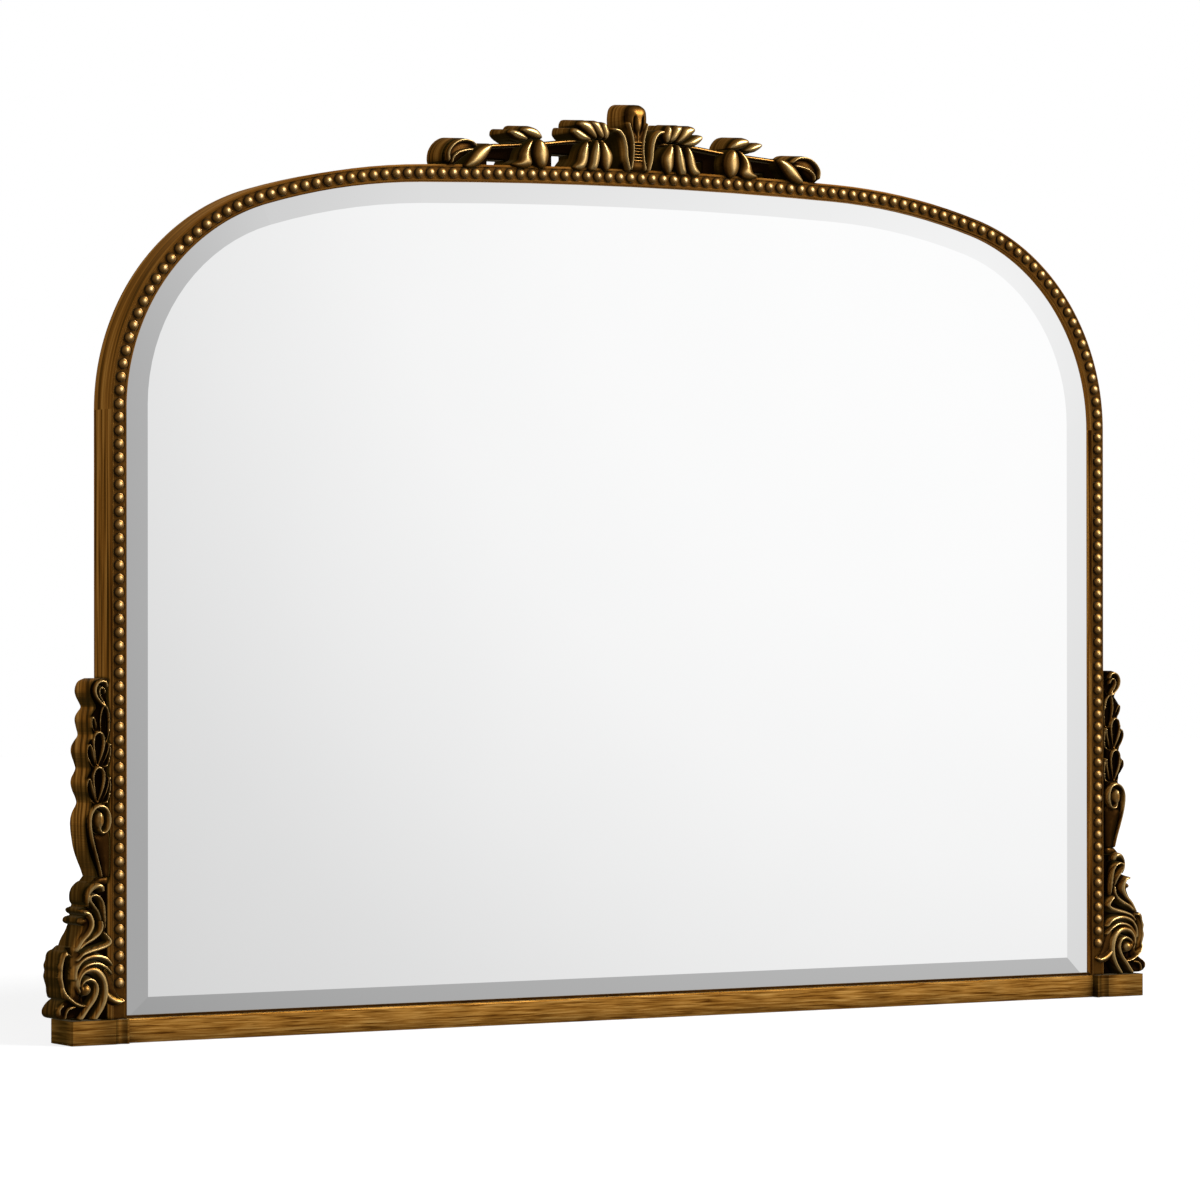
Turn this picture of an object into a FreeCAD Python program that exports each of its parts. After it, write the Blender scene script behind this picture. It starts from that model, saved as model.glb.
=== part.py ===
import FreeCAD, Part
import math
import os

from FreeCAD import Vector

# Ornate arched wall mirror, in millimetres.
# X runs to the right, Z up and the front faces -Y. The back plane, which lies on the wall, is Y = 0,
# and the underside of the base is Z = 0.

# Arch, measured on the line that the beads follow
BEAD_HALF_WIDTH = 571.0
SPRING_HEIGHT = 598.0
CORNER_RADIUS = 217.0
CORNER_SWEEP = 73.4
SHOULDER_RADIUS = 713.0
CROWN_RADIUS = 5900.0

# Frame section
FRAME_DEPTH = 37.0
FACE_WIDTH = 17.0
LIP_THICKNESS = 8.0
REBATE_WIDTH = 5.5
OUTER_ARRIS = 1.5
SIGHT_CHAMFER = 1.0
CHANNEL_WIDTH = 12.2
CHANNEL_DEPTH = 0.8

# Beads
BEAD_PITCH = 12.7
BEAD_RADIUS = 5.05
LOWEST_BEAD = 34.0

# Base
BASE_HEIGHT = 23.0
RAIL_TOP_ROUND = 1.5
RAIL_FLOOR = 13.0
BLOCK_INNER_REVEAL = 2.1
BLOCK_LENGTH = 59.6
BLOCK_PROUD = 9.0
BLOCK_CANT = 1.2
SCALLOP_START = 2.0
SCALLOP_WIDTH = 12.0
SCALLOP_DEPTH = 2.4
SLIP_HEIGHT = 2.6
SLIP_DEPTH = 3.6

# Glass and back
GLASS_THICKNESS = 5.0
GLASS_EDGE = 2.2
GLASS_CLEARANCE = 1.5
BEVEL_INSET = 34.0
BEVEL_RISE = 5.0
BEVEL_FOOT = 42.0
SETTING_BLOCK_HEIGHT = 1.5
SETTING_BLOCK_LENGTH = 60.0
SETTING_BLOCK_SPAN = 560.0
BOARD_THICKNESS = 9.0
FILLET_WIDTH = 12.0
FILLET_THICKNESS = 10.0
FILLET_END_GAP = 6.0
FILLET_SCREW_RADIUS = 1.5
FILLET_SCREW_BITE = 7.0
FILLET_SCREW_HEAD_RADIUS = 3.0
FILLET_SCREW_HEAD_HEIGHT = 2.0
SIDE_FILLET_SCREWS = 3

# Dowels and pins
DOWEL_RADIUS = 3.0
DOWEL_REACH = 18.0
DOWEL_SPACING = 13.0
PIN_RADIUS = 2.0
CREST_PIN_REACH = 7.0
SIDE_PIN_REACH = 7.0
FIT_CLEARANCE = 0.1
SEAT_CLEARANCE = 0.15

# Carved ornament
CREST_PROUD = 6.0
LEAF_STEP = 0.8
CREST_BACK_INSET = 2.0
WEB_FRONT_INSET = 16.0
BEAD_COVER_CLEARANCE = 0.5
SIDE_PROUD = 4.0
SIDE_RELIEF = 4.0
SIDE_BACK_INSET = 1.0
WAIST_HEIGHT = 134.0
LEAF_TIP_PROUD = 3.5

# Hangers
HANGER_HALF_SPAN = 300.0
HANGER_HEIGHT = 640.0
STRAP_WIDTH = 16.0
STRAP_THICKNESS = 1.5
STRAP_LENGTH = 46.0
STRAP_LOOP_WIDTH = 14.0
STRAP_STAND_OFF = 4.6
STRAP_SCREWS = (26.0, 39.0)
RING_WIRE_RADIUS = 1.5
RING_RADIUS = 11.5
RING_CORNER = 3.6
RING_CLEARANCE = 0.15
HANGER_SCREW_RADIUS = 1.7
HANGER_SCREW_LENGTH = 9.0
HANGER_SCREW_HEAD_RADIUS = 3.4
HANGER_SCREW_HEAD_HEIGHT = 1.8

# Places that follow from the sizes above
FACE_HALF = FACE_WIDTH / 2
STILE_OUTER = BEAD_HALF_WIDTH + FACE_HALF
STILE_SIGHT = BEAD_HALF_WIDTH - FACE_HALF
WALL_INNER = STILE_SIGHT + REBATE_WIDTH
REBATE_OFFSET = REBATE_WIDTH - FACE_HALF
WALL_OFFSET = (REBATE_OFFSET + FACE_HALF) / 2
WALL_MIDDLE = BEAD_HALF_WIDTH + WALL_OFFSET
FACE_Y = -FRAME_DEPTH
LIP_Y = FACE_Y + LIP_THICKNESS
GLASS_BACK_Y = LIP_Y + GLASS_THICKNESS
BOARD_BACK_Y = GLASS_BACK_Y + BOARD_THICKNESS
FILLET_BACK_Y = BOARD_BACK_Y + FILLET_THICKNESS
WALL_MIDDLE_Y = LIP_Y / 2
BLOCK_INNER = STILE_SIGHT + BLOCK_INNER_REVEAL
BLOCK_OUTER = BLOCK_INNER + BLOCK_LENGTH
BLOCK_FRONT_Y = FACE_Y - BLOCK_PROUD
GLASS_OFFSET = REBATE_OFFSET - GLASS_CLEARANCE
GLASS_FOOT = RAIL_FLOOR + SETTING_BLOCK_HEIGHT
SIDE_FILLET_FOOT = RAIL_FLOOR + FILLET_WIDTH + FILLET_END_GAP
SIDE_FILLET_TOP = SPRING_HEIGHT - FILLET_END_GAP
CREST_BACK_Y = -CREST_BACK_INSET
SIDE_BACK_Y = -SIDE_BACK_INSET

X_AXIS = Vector(1, 0, 0)
Y_AXIS = Vector(0, 1, 0)
Z_AXIS = Vector(0, 0, 1)
TURN_AXIS = Vector(0, -1, 0)

parts = {}


def direction(angle):
    return Vector(math.cos(angle), 0, math.sin(angle))


def arch_arcs():
    """Centre, radius, start and end angle of the corner, shoulder and crown arcs of the right half."""
    corner_end = math.radians(CORNER_SWEEP)
    corner_centre = Vector(BEAD_HALF_WIDTH - CORNER_RADIUS, 0, SPRING_HEIGHT)
    shoulder_centre = corner_centre - direction(corner_end) * (SHOULDER_RADIUS - CORNER_RADIUS)
    shoulder_end = math.acos(shoulder_centre.x / (CROWN_RADIUS - SHOULDER_RADIUS))
    crown_centre = shoulder_centre - direction(shoulder_end) * (CROWN_RADIUS - SHOULDER_RADIUS)
    return [
        (corner_centre, CORNER_RADIUS, 0.0, corner_end),
        (shoulder_centre, SHOULDER_RADIUS, corner_end, shoulder_end),
        (crown_centre, CROWN_RADIUS, shoulder_end, math.pi / 2),
    ]


ARCS = arch_arcs()
CROWN_CENTRE = ARCS[2][0]
CROWN_TOP = CROWN_CENTRE.z + CROWN_RADIUS + FACE_HALF


def mirrored(shape):
    return shape.mirror(Vector(0, 0, 0), X_AXIS)


def box(x0, x1, y0, y1, z0, z1):
    return Part.makeBox(x1 - x0, y1 - y0, z1 - z0, Vector(x0, y0, z0))


def polygon_face(points):
    return Part.Face(Part.makePolygon(points + [points[0]]))


def add_pair(name, right_shape):
    parts["right_" + name] = right_shape
    parts["left_" + name] = mirrored(right_shape)


def drill(names, tool):
    for name in names:
        parts[name] = parts[name].cut(tool)


# Frame members

def frame_section():
    """Section of the frame as (offset from the bead line, y), with a channel for the beads and a rebate."""
    half_channel = CHANNEL_WIDTH / 2
    floor_y = FACE_Y + CHANNEL_DEPTH
    return [
        (FACE_HALF, 0),
        (FACE_HALF, FACE_Y + OUTER_ARRIS),
        (FACE_HALF - OUTER_ARRIS, FACE_Y),
        (half_channel, FACE_Y),
        (half_channel - CHANNEL_DEPTH, floor_y),
        (CHANNEL_DEPTH - half_channel, floor_y),
        (-half_channel, FACE_Y),
        (SIGHT_CHAMFER - FACE_HALF, FACE_Y),
        (-FACE_HALF, FACE_Y + SIGHT_CHAMFER),
        (-FACE_HALF, LIP_Y),
        (REBATE_OFFSET, LIP_Y),
        (REBATE_OFFSET, 0),
    ]


def fillet_section():
    """Section of a retaining fillet, against the inner face of the frame wall and the board's back."""
    outer = REBATE_OFFSET - SEAT_CLEARANCE
    inner = REBATE_OFFSET - FILLET_WIDTH
    return [
        (outer, BOARD_BACK_Y),
        (inner, BOARD_BACK_Y),
        (inner, FILLET_BACK_Y),
        (outer, FILLET_BACK_Y),
    ]


def straight_member(section, z0, z1):
    points = [Vector(BEAD_HALF_WIDTH + n, y, z0) for n, y in section]
    return polygon_face(points).extrude(Z_AXIS * (z1 - z0))


def arc_member(section, arc, start, end):
    centre, radius = arc[0], arc[1]
    out = direction(start)
    points = [centre + out * (radius + n) + Y_AXIS * y for n, y in section]
    return polygon_face(points).revolve(centre, TURN_AXIS, math.degrees(end - start))


def crown_member(section, trim=0.0):
    """Shoulder arcs and crown arc in one piece, shortened by an angle of the shoulder arcs at each end."""
    shoulder, crown = ARCS[1], ARCS[2]
    right = arc_member(section, shoulder, shoulder[2] + trim, shoulder[3])
    middle = arc_member(section, crown, crown[2], math.pi - crown[2])
    return right.fuse([middle, mirrored(right)]).removeSplitter()


def frame_members():
    section = frame_section()
    corner = ARCS[0]
    add_pair("stile", straight_member(section, BASE_HEIGHT, SPRING_HEIGHT))
    add_pair("shoulder", arc_member(section, corner, corner[2], corner[3]))
    parts["crown_rail"] = crown_member(section)


def base_members():
    lip = box(-BLOCK_INNER, BLOCK_INNER, FACE_Y, LIP_Y, 0, BASE_HEIGHT)
    arris = [e for e in lip.Edges if is_front_top_edge(e)]
    lip = lip.makeFillet(RAIL_TOP_ROUND, arris)
    floor = box(-WALL_INNER, WALL_INNER, LIP_Y, 0, 0, RAIL_FLOOR)
    parts["bottom_rail"] = lip.fuse(floor).removeSplitter()
    add_pair("plinth_block", plinth_block())
    slip_top = BASE_HEIGHT + SLIP_HEIGHT
    slip = box(-STILE_SIGHT, STILE_SIGHT, LIP_Y - SLIP_DEPTH, LIP_Y, BASE_HEIGHT, slip_top)
    parts["bottom_slip"] = slip


def is_front_top_edge(edge):
    middle = edge.CenterOfMass
    return abs(middle.y - FACE_Y) < 1e-6 and abs(middle.z - BASE_HEIGHT) < 1e-6


def plinth_block():
    """Block under the stile and the side ornament, with a hollow beside its inner front corner."""
    scallop_start = Vector(BLOCK_INNER + SCALLOP_START, BLOCK_FRONT_Y, 0)
    scallop_end = scallop_start + X_AXIS * SCALLOP_WIDTH
    scallop_middle = (scallop_start + scallop_end) * 0.5 + Y_AXIS * SCALLOP_DEPTH
    corners = [
        scallop_end,
        Vector(BLOCK_OUTER - BLOCK_CANT, BLOCK_FRONT_Y, 0),
        Vector(BLOCK_OUTER, BLOCK_FRONT_Y + BLOCK_CANT, 0),
        Vector(BLOCK_OUTER, 0, 0),
        Vector(WALL_INNER, 0, 0),
        Vector(WALL_INNER, LIP_Y, 0),
        Vector(BLOCK_INNER, LIP_Y, 0),
        Vector(BLOCK_INNER, BLOCK_FRONT_Y, 0),
        scallop_start,
    ]
    edges = [Part.Arc(scallop_start, scallop_middle, scallop_end).toShape()]
    edges += [Part.makeLine(a, b) for a, b in zip(corners, corners[1:])]
    return Part.Face(Part.Wire(edges)).extrude(Z_AXIS * BASE_HEIGHT)


# Beads

def bead_path():
    """Stretches of the right half of the bead line from the foot up: name of the run, length, place."""
    foot = BASE_HEIGHT + LOWEST_BEAD
    stretches = [("stile", SPRING_HEIGHT - foot, None)]
    for name, arc in zip(("shoulder", "crown", "crown"), ARCS):
        stretches.append((name, arc[1] * (arc[3] - arc[2]), arc))
    return foot, stretches


def bead_runs():
    foot, stretches = bead_path()
    half_length = sum(length for _, length, _ in stretches)
    count = round(2 * half_length / BEAD_PITCH)
    step = 2 * half_length / count
    runs = {"stile": [], "shoulder": [], "crown": []}
    for index in range(count // 2 + 1):
        travel = index * step
        for name, length, arc in stretches:
            if travel <= length:
                break
            travel -= length
        if arc is None:
            place = Vector(BEAD_HALF_WIDTH, 0, foot + travel)
        else:
            place = arc[0] + direction(arc[2] + travel / arc[1]) * arc[1]
        place.y = FACE_Y + CHANNEL_DEPTH
        runs[name].append(Part.makeSphere(BEAD_RADIUS, place, TURN_AXIS, 0, 90, 360))
    centre_bead = count % 2 == 0
    crown_left = runs["crown"][:-1] if centre_bead else runs["crown"]
    for name in ("stile", "shoulder"):
        add_pair(name + "_beads", Part.makeCompound(runs[name]))
    parts["crown_beads"] = Part.makeCompound(runs["crown"] + [mirrored(b) for b in crown_left])


# Glass and back

def arch_wire(offset, foot, y, rise=0.0):
    """Closed outline of the opening, offset from the bead line, with a level foot."""
    lift = Vector(0, y, rise)
    half = BEAD_HALF_WIDTH + offset
    right = []
    for centre, radius, start, end in ARCS:
        reach = radius + offset
        stops = [centre + direction(a) * reach + lift for a in (start, (start + end) / 2, end)]
        right.append(stops)
    arcs = [Part.Arc(*stops).toShape() for stops in right[:2]]
    crown_start, crown_end = right[2][0], Vector(-right[2][0].x, y, right[2][0].z)
    arcs.append(Part.Arc(crown_start, right[2][2], crown_end).toShape())
    for stops in reversed(right[:2]):
        flipped = [Vector(-p.x, p.y, p.z) for p in reversed(stops)]
        arcs.append(Part.Arc(*flipped).toShape())
    spring = SPRING_HEIGHT + rise
    places = [(-half, spring), (-half, foot), (half, foot), (half, spring)]
    corners = [Vector(x, y, z) for x, z in places]
    lines = [Part.makeLine(a, b) for a, b in zip(corners, corners[1:])]
    return Part.Wire(arcs + lines)


def glass_and_back():
    edge_y = GLASS_BACK_Y - GLASS_EDGE
    outer = arch_wire(GLASS_OFFSET, GLASS_FOOT, edge_y)
    bevel = arch_wire(-BEVEL_INSET, BEVEL_FOOT, LIP_Y, BEVEL_RISE)
    sheet = Part.Face(outer).extrude(Y_AXIS * GLASS_EDGE)
    raised = Part.makeLoft([outer, bevel], True, True)
    parts["mirror_glass"] = sheet.fuse(raised).removeSplitter()
    board_outline = arch_wire(GLASS_OFFSET, GLASS_FOOT, GLASS_BACK_Y)
    parts["backing_board"] = Part.Face(board_outline).extrude(Y_AXIS * BOARD_THICKNESS)
    blocks = []
    for side in (-1, 1):
        middle = side * SETTING_BLOCK_SPAN / 2
        x0, x1 = middle - SETTING_BLOCK_LENGTH / 2, middle + SETTING_BLOCK_LENGTH / 2
        blocks.append(box(x0, x1, LIP_Y, BOARD_BACK_Y, RAIL_FLOOR, GLASS_FOOT))
    parts["setting_blocks"] = Part.makeCompound(blocks)


def fillets():
    section = fillet_section()
    corner, shoulder = ARCS[0], ARCS[1]
    add_pair("back_fillet", straight_member(section, SIDE_FILLET_FOOT, SIDE_FILLET_TOP))
    corner_trim = FILLET_END_GAP / CORNER_RADIUS
    add_pair("shoulder_fillet", arc_member(section, corner, corner[2], corner[3] - corner_trim))
    parts["crown_fillet"] = crown_member(section, FILLET_END_GAP / SHOULDER_RADIUS)
    half = WALL_INNER - FILLET_END_GAP
    top = RAIL_FLOOR + FILLET_WIDTH
    parts["bottom_fillet"] = box(-half, half, BOARD_BACK_Y, FILLET_BACK_Y, RAIL_FLOOR, top)


def screw(head_face, along, shank_radius, length, head_radius, head_height):
    """Screw with its shank along a direction from the underside of its head."""
    shank = Part.makeCylinder(shank_radius, length, head_face, along)
    head = Part.makeCylinder(head_radius, head_height, head_face - along * head_height, along)
    return shank.fuse(head)


def fillet_screws():
    """Screws through each fillet, heads sunk flush, into the frame wall or the rail."""
    middle_y = BOARD_BACK_Y + FILLET_THICKNESS / 2
    sink = FILLET_SCREW_HEAD_HEIGHT
    length = FILLET_WIDTH - sink + FILLET_SCREW_BITE
    run = SIDE_FILLET_TOP - SIDE_FILLET_FOOT
    spots = []
    for index in range(SIDE_FILLET_SCREWS):
        height = SIDE_FILLET_FOOT + run * (index + 0.5) / SIDE_FILLET_SCREWS
        x = WALL_INNER - FILLET_WIDTH + sink
        spots.append((Vector(x, middle_y, height), X_AXIS, "right_back_fillet", "right_stile"))
    crown = ("crown_fillet", "crown_rail")
    curved = [("right_shoulder_fillet", "right_shoulder"), crown, crown]
    for (centre, radius, start, end), (fillet, member) in zip(ARCS, curved):
        out = direction((start + end) / 2)
        reach = radius + REBATE_OFFSET - FILLET_WIDTH + sink
        spots.append((centre + out * reach + Y_AXIS * middle_y, out, fillet, member))
    bottom = Vector(SETTING_BLOCK_SPAN / 2, middle_y, RAIL_FLOOR + FILLET_WIDTH - sink)
    spots.append((bottom, -Z_AXIS, "bottom_fillet", "bottom_rail"))
    screws = []
    for place, along, fillet, member in spots:
        made = screw(place, along, FILLET_SCREW_RADIUS, length, FILLET_SCREW_HEAD_RADIUS, sink)
        shank_hole = FILLET_SCREW_RADIUS + FIT_CLEARANCE
        head_hole = FILLET_SCREW_HEAD_RADIUS + FIT_CLEARANCE
        hole = screw(place, along, shank_hole, length + FIT_CLEARANCE, head_hole, sink)
        for flip in (False, True):
            names = [fillet, member]
            if flip:
                names = [n.replace("right_", "left_") for n in names]
            drill(names, mirrored(hole) if flip else hole)
            screws.append(mirrored(made) if flip else made)
    parts["fillet_screws"] = Part.makeCompound(screws)


# Dowels and pins

def peg_pair(middle, along, radius, reach_back, reach_on, names):
    """Peg that reaches both ways from a joint, made for the right side and mirrored, with its holes."""
    pegs = []
    start = middle - along * reach_back
    length = reach_back + reach_on
    peg = Part.makeCylinder(radius, length, start, along)
    hole_start = start - along * FIT_CLEARANCE
    hole = Part.makeCylinder(radius + FIT_CLEARANCE, length + 2 * FIT_CLEARANCE, hole_start, along)
    for flip in (False, True):
        sided = [n.replace("right_", "left_") for n in names] if flip else names
        drill(sided, mirrored(hole) if flip else hole)
        pegs.append(mirrored(peg) if flip else peg)
    return pegs


def dowel_pair(place, along, names, reach_back=DOWEL_REACH):
    return peg_pair(place, along, DOWEL_RADIUS, reach_back, DOWEL_REACH, names)


def pin_pair(place, along, reach, names):
    return peg_pair(place, along, PIN_RADIUS, reach, reach, names)


def dowels():
    """Dowels at the frame's joints. Those in the stile's foot stop above the ones in the rail's end."""
    levels = [WALL_MIDDLE_Y - DOWEL_SPACING / 2, WALL_MIDDLE_Y + DOWEL_SPACING / 2]
    foot, head, crown, rail = [], [], [], []
    corner = ARCS[0]
    joint = corner[0] + direction(corner[3]) * (corner[1] + WALL_OFFSET)
    tangent = direction(corner[3] + math.pi / 2)
    foot_depth = BASE_HEIGHT - RAIL_FLOOR
    for y in levels:
        place = Vector(WALL_MIDDLE, y, BASE_HEIGHT)
        foot += dowel_pair(place, Z_AXIS, ["right_plinth_block", "right_stile"], foot_depth)
        place = Vector(WALL_MIDDLE, y, SPRING_HEIGHT)
        head += dowel_pair(place, Z_AXIS, ["right_stile", "right_shoulder"])
        place = joint + Y_AXIS * y
        crown += dowel_pair(place, tangent, ["right_shoulder", "crown_rail"])
        place = Vector(WALL_INNER, y, RAIL_FLOOR / 2)
        rail += dowel_pair(place, X_AXIS, ["bottom_rail", "right_plinth_block"])
    parts["stile_foot_dowels"] = Part.makeCompound(foot)
    parts["stile_head_dowels"] = Part.makeCompound(head)
    parts["crown_dowels"] = Part.makeCompound(crown)
    parts["rail_dowels"] = Part.makeCompound(rail)


# Carved ornament

def curve_wire(points, y):
    """Smooth closed outline through a few points."""
    spline = Part.BSplineCurve()
    spline.interpolate([Vector(x, y, z) for x, z in points], PeriodicFlag=True)
    return Part.Wire(spline.toShape())


def leaf(points, front_y, back_y):
    return Part.Face(curve_wire(points, back_y)).extrude(Y_AXIS * (front_y - back_y))


def slab(edge, corners, front_y, back_y):
    """Solid with one smooth edge through a few points, closed by straight lines through the corners."""
    places = [Vector(x, back_y, z) for x, z in edge]
    spline = Part.BSplineCurve()
    spline.interpolate(places)
    stops = [places[-1]] + [Vector(x, back_y, z) for x, z in corners] + [places[0]]
    lines = [Part.makeLine(a, b) for a, b in zip(stops, stops[1:])]
    return Part.Face(Part.Wire([spline.toShape()] + lines)).extrude(Y_AXIS * (front_y - back_y))


def lobe(base, tip, width, front_y, back_y):
    """Oval prism from a base point to a tip."""
    start = Vector(base[0], back_y, base[1])
    end = Vector(tip[0], back_y, tip[1])
    along = end - start
    across = along.cross(Y_AXIS).normalize() * (width / 2)
    middle = (start + end) * 0.5
    oval = Part.Ellipse(end, middle + across, middle)
    return Part.Face(Part.Wire(oval.toShape())).extrude(Y_AXIS * (front_y - back_y))


def ring(centre, outer, inner, front_y, back_y):
    start = Vector(centre[0], back_y, centre[1])
    height = back_y - front_y
    disc = Part.makeCylinder(outer, height, start, TURN_AXIS)
    return disc.cut(Part.makeCylinder(inner, height, start, TURN_AXIS))


def boss(centre, radius, front_y, back_y):
    return Part.makeCylinder(radius, back_y - front_y, Vector(centre[0], back_y, centre[1]), TURN_AXIS)


# Outlines of the crest as (x from the middle, height over the crown rail)
CARTOUCHE_HALF = [(10.5, -1.5), (9.6, 8), (7.6, 17), (7.8, 28), (9.6, 37), (12.2, 44), (12.6, 54),
                  (11, 60.5), (6, 64)]
CARTOUCHE_TOP = 64.7
CARTOUCHE_RIBS = 7
RIB_FOOT = 10.0
RIB_TOP = 28.0
RIB_HALF_WIDTH = 5.6
RIB_THICKNESS = 1.5
CARTOUCHE_FLUTES = ((0, 30, 0, 60), (-2.5, 31, -7.5, 57), (2.5, 31, 7.5, 57))
FLUTE_WIDTH = 5.0
SCROLL_ARM = [(8, -1.5), (12.4, 10), (13.6, 22), (16.5, 32.5), (22.5, 39.5), (29, 40), (29, 36.6),
              (24, 34.5), (19.6, 29), (17.4, 21), (16.4, 10), (14.6, -1.5)]
UPPER_LEAVES = [
    [(34, 28), (38.5, 28.5), (41.5, 34), (42.5, 41), (40, 45.6), (36, 45.4), (32.5, 40.5), (30.8, 34.5)],
    [(38.5, 29), (44, 29.5), (49, 34), (53, 40), (54, 45), (50, 46.8), (44.5, 46), (40.5, 40.5), (38, 34)],
    [(46, 28.5), (52, 29), (59, 32.5), (66, 37.5), (69.2, 42), (66.5, 45.8), (60, 46.6), (54, 44.5),
     (49.5, 38.5)],
    [(53, 27), (60, 25), (67, 25.6), (73, 29), (76.8, 33.6), (75.5, 37.5), (70, 37.8), (63, 34.5),
     (57, 30.5)],
    [(109, 25.5), (116, 24.5), (125, 26.5), (131.5, 29.5), (134, 33), (131, 36.8), (124, 37.8), (116, 35.6),
     (110.5, 30.5)],
    [(126, 24), (133, 22.5), (141, 24), (146.5, 27.5), (148.6, 30.8), (145, 33.4), (138, 32.6), (131, 29)],
]
LEAF_BACKS = [
    [(33.5, 27), (32.5, 37), (36, 43.6), (43, 45), (55, 45), (63, 44), (67.5, 39.5), (72.5, 36), (73, 31),
     (66, 26), (50, 26)],
    [(110.5, 24.5), (113, 31), (120, 35.6), (129, 35.4), (135, 32.4), (143, 31), (145.5, 28), (138, 22.5),
     (124, 22)],
]
LEAF_BACK_INSET = 4.0
LOWER_LEAVES = [
    [(39.5, 23.5), (33.5, 20), (28.8, 13), (29.5, 4), (34, -3), (38.5, -3), (42, 3), (43, 12), (42, 19)],
    [(45.5, 23.5), (44, 15), (45, 5), (48.5, -3), (53, -4), (57, -2.5), (56, 6), (54, 14), (50, 21.5)],
    [(58, 21.5), (57.5, 12), (59.5, 2), (64, -3.5), (70, -4), (74.5, -1), (69.8, 6), (66.8, 14), (63, 20)],
    [(112, 23.2), (105.5, 19.5), (102.8, 12), (103.5, 3), (107, -3), (112.5, -4), (117.5, -0.5), (120.5, 7),
     (120, 15), (117, 21)],
    [(120.5, 23.5), (123, 17), (123.8, 10), (121.8, 2), (124, -3), (131, -5), (138, -4), (144, -1),
     (137, 3.5), (134, 11), (129, 18)],
]
LANCE_LEAF = [(167, 17), (172, 6), (181, -3), (191, -7), (198.5, -5.5), (194, 3), (186, 12), (176, 17.4)]
END_BUD = [(183, 16), (190, 21.5), (203, 22.2), (213, 17), (219, 8), (218.5, -2), (210, -5), (198, 3),
           (188, 10)]
STEM = [(20, 27.5), (70, 25.5), (104, 21.5), (140, 18.5), (185, 15)]
STEM_THICKNESS = 4.0
WEB_GAPS = ((69, 88, 12.5), (142.5, 162, 4.0))
WEB_END = 178.0
CREST_SINK = 10.0


def at_crest(points):
    return [(x, CROWN_TOP + z) for x, z in points]


def both_halves(half, top):
    """Outline of the whole cartouche from its right half, anticlockwise."""
    return half + [(0, top)] + [(-x, z) for x, z in reversed(half)]


def crown_cutters():
    """What the crest has to clear: the crown rail itself, and the beads on its face."""
    seat = CROWN_RADIUS + FACE_HALF + SEAT_CLEARANCE
    start = CROWN_CENTRE + Y_AXIS * (FACE_Y - SEAT_CLEARANCE)
    rail = Part.makeCylinder(seat, FRAME_DEPTH + SEAT_CLEARANCE, start, Y_AXIS)
    cover = CROWN_RADIUS + BEAD_RADIUS + BEAD_COVER_CLEARANCE
    depth = FRAME_DEPTH
    front = CROWN_CENTRE + Y_AXIS * (FACE_Y - SEAT_CLEARANCE - depth)
    return [rail, Part.makeCylinder(cover, depth, front, Y_AXIS)]


def stem_solid(front_y):
    upper = [(x, z + STEM_THICKNESS / 2) for x, z in STEM]
    lower = [(x, z - STEM_THICKNESS / 2) for x, z in reversed(STEM)]
    places = [Vector(x, CREST_BACK_Y, z) for x, z in at_crest(upper + lower)]
    return polygon_face(places).extrude(Y_AXIS * (front_y - CREST_BACK_Y))


def web_solid():
    """Dark web behind the leaves, between the rail and the stem, open at two small gaps."""
    front_y = FACE_Y + WEB_FRONT_INSET
    line = [p for p in STEM if p[0] < WEB_END] + [(WEB_END, STEM[-1][1])]
    points = [(STEM[0][0], -CREST_SINK)] + line + [(WEB_END, -CREST_SINK)]
    places = [Vector(x, CREST_BACK_Y, z) for x, z in at_crest(points)]
    web = polygon_face(places).extrude(Y_AXIS * (front_y - CREST_BACK_Y))
    for x0, x1, height in WEB_GAPS:
        web = web.cut(box(x0, x1, front_y, CREST_BACK_Y, CROWN_TOP - CREST_SINK, CROWN_TOP + height))
    return web


def crest():
    front = FACE_Y - CREST_PROUD
    cutters = crown_cutters()
    body = leaf(at_crest(both_halves(CARTOUCHE_HALF, CARTOUCHE_TOP)), front, CREST_BACK_Y)
    arms = leaf(at_crest(SCROLL_ARM), front - LEAF_STEP, CREST_BACK_Y)
    extras = [arms, mirrored(arms)]
    rise = (RIB_TOP - RIB_FOOT) / CARTOUCHE_RIBS
    for index in range(CARTOUCHE_RIBS):
        z = CROWN_TOP + RIB_FOOT + rise * index
        extras.append(box(-RIB_HALF_WIDTH, RIB_HALF_WIDTH, front - LEAF_STEP, FACE_Y, z, z + RIB_THICKNESS))
    for x0, z0, x1, z1 in CARTOUCHE_FLUTES:
        base, tip = at_crest([(x0, z0), (x1, z1)])
        extras.append(lobe(base, tip, FLUTE_WIDTH, front - LEAF_STEP, FACE_Y))
    cartouche = body.fuse(extras).cut(cutters)
    parts["crest_cartouche"] = cartouche
    leaves = []
    for index, points in enumerate(UPPER_LEAVES + LOWER_LEAVES):
        step = LEAF_STEP * (index % 3)
        leaves.append(leaf(at_crest(points), front + LEAF_STEP - step, CREST_BACK_Y))
    for points in LEAF_BACKS:
        leaves.append(leaf(at_crest(points), front + LEAF_BACK_INSET, CREST_BACK_Y))
    leaves.append(leaf(at_crest(LANCE_LEAF), front - LEAF_STEP, CREST_BACK_Y))
    leaves.append(leaf(at_crest(END_BUD), front + LEAF_STEP, CREST_BACK_Y))
    leaves.append(stem_solid(front + 2 * LEAF_STEP))
    spray = web_solid().fuse(leaves).cut(cutters + [cartouche])
    add_pair("crest_spray", spray)


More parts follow.
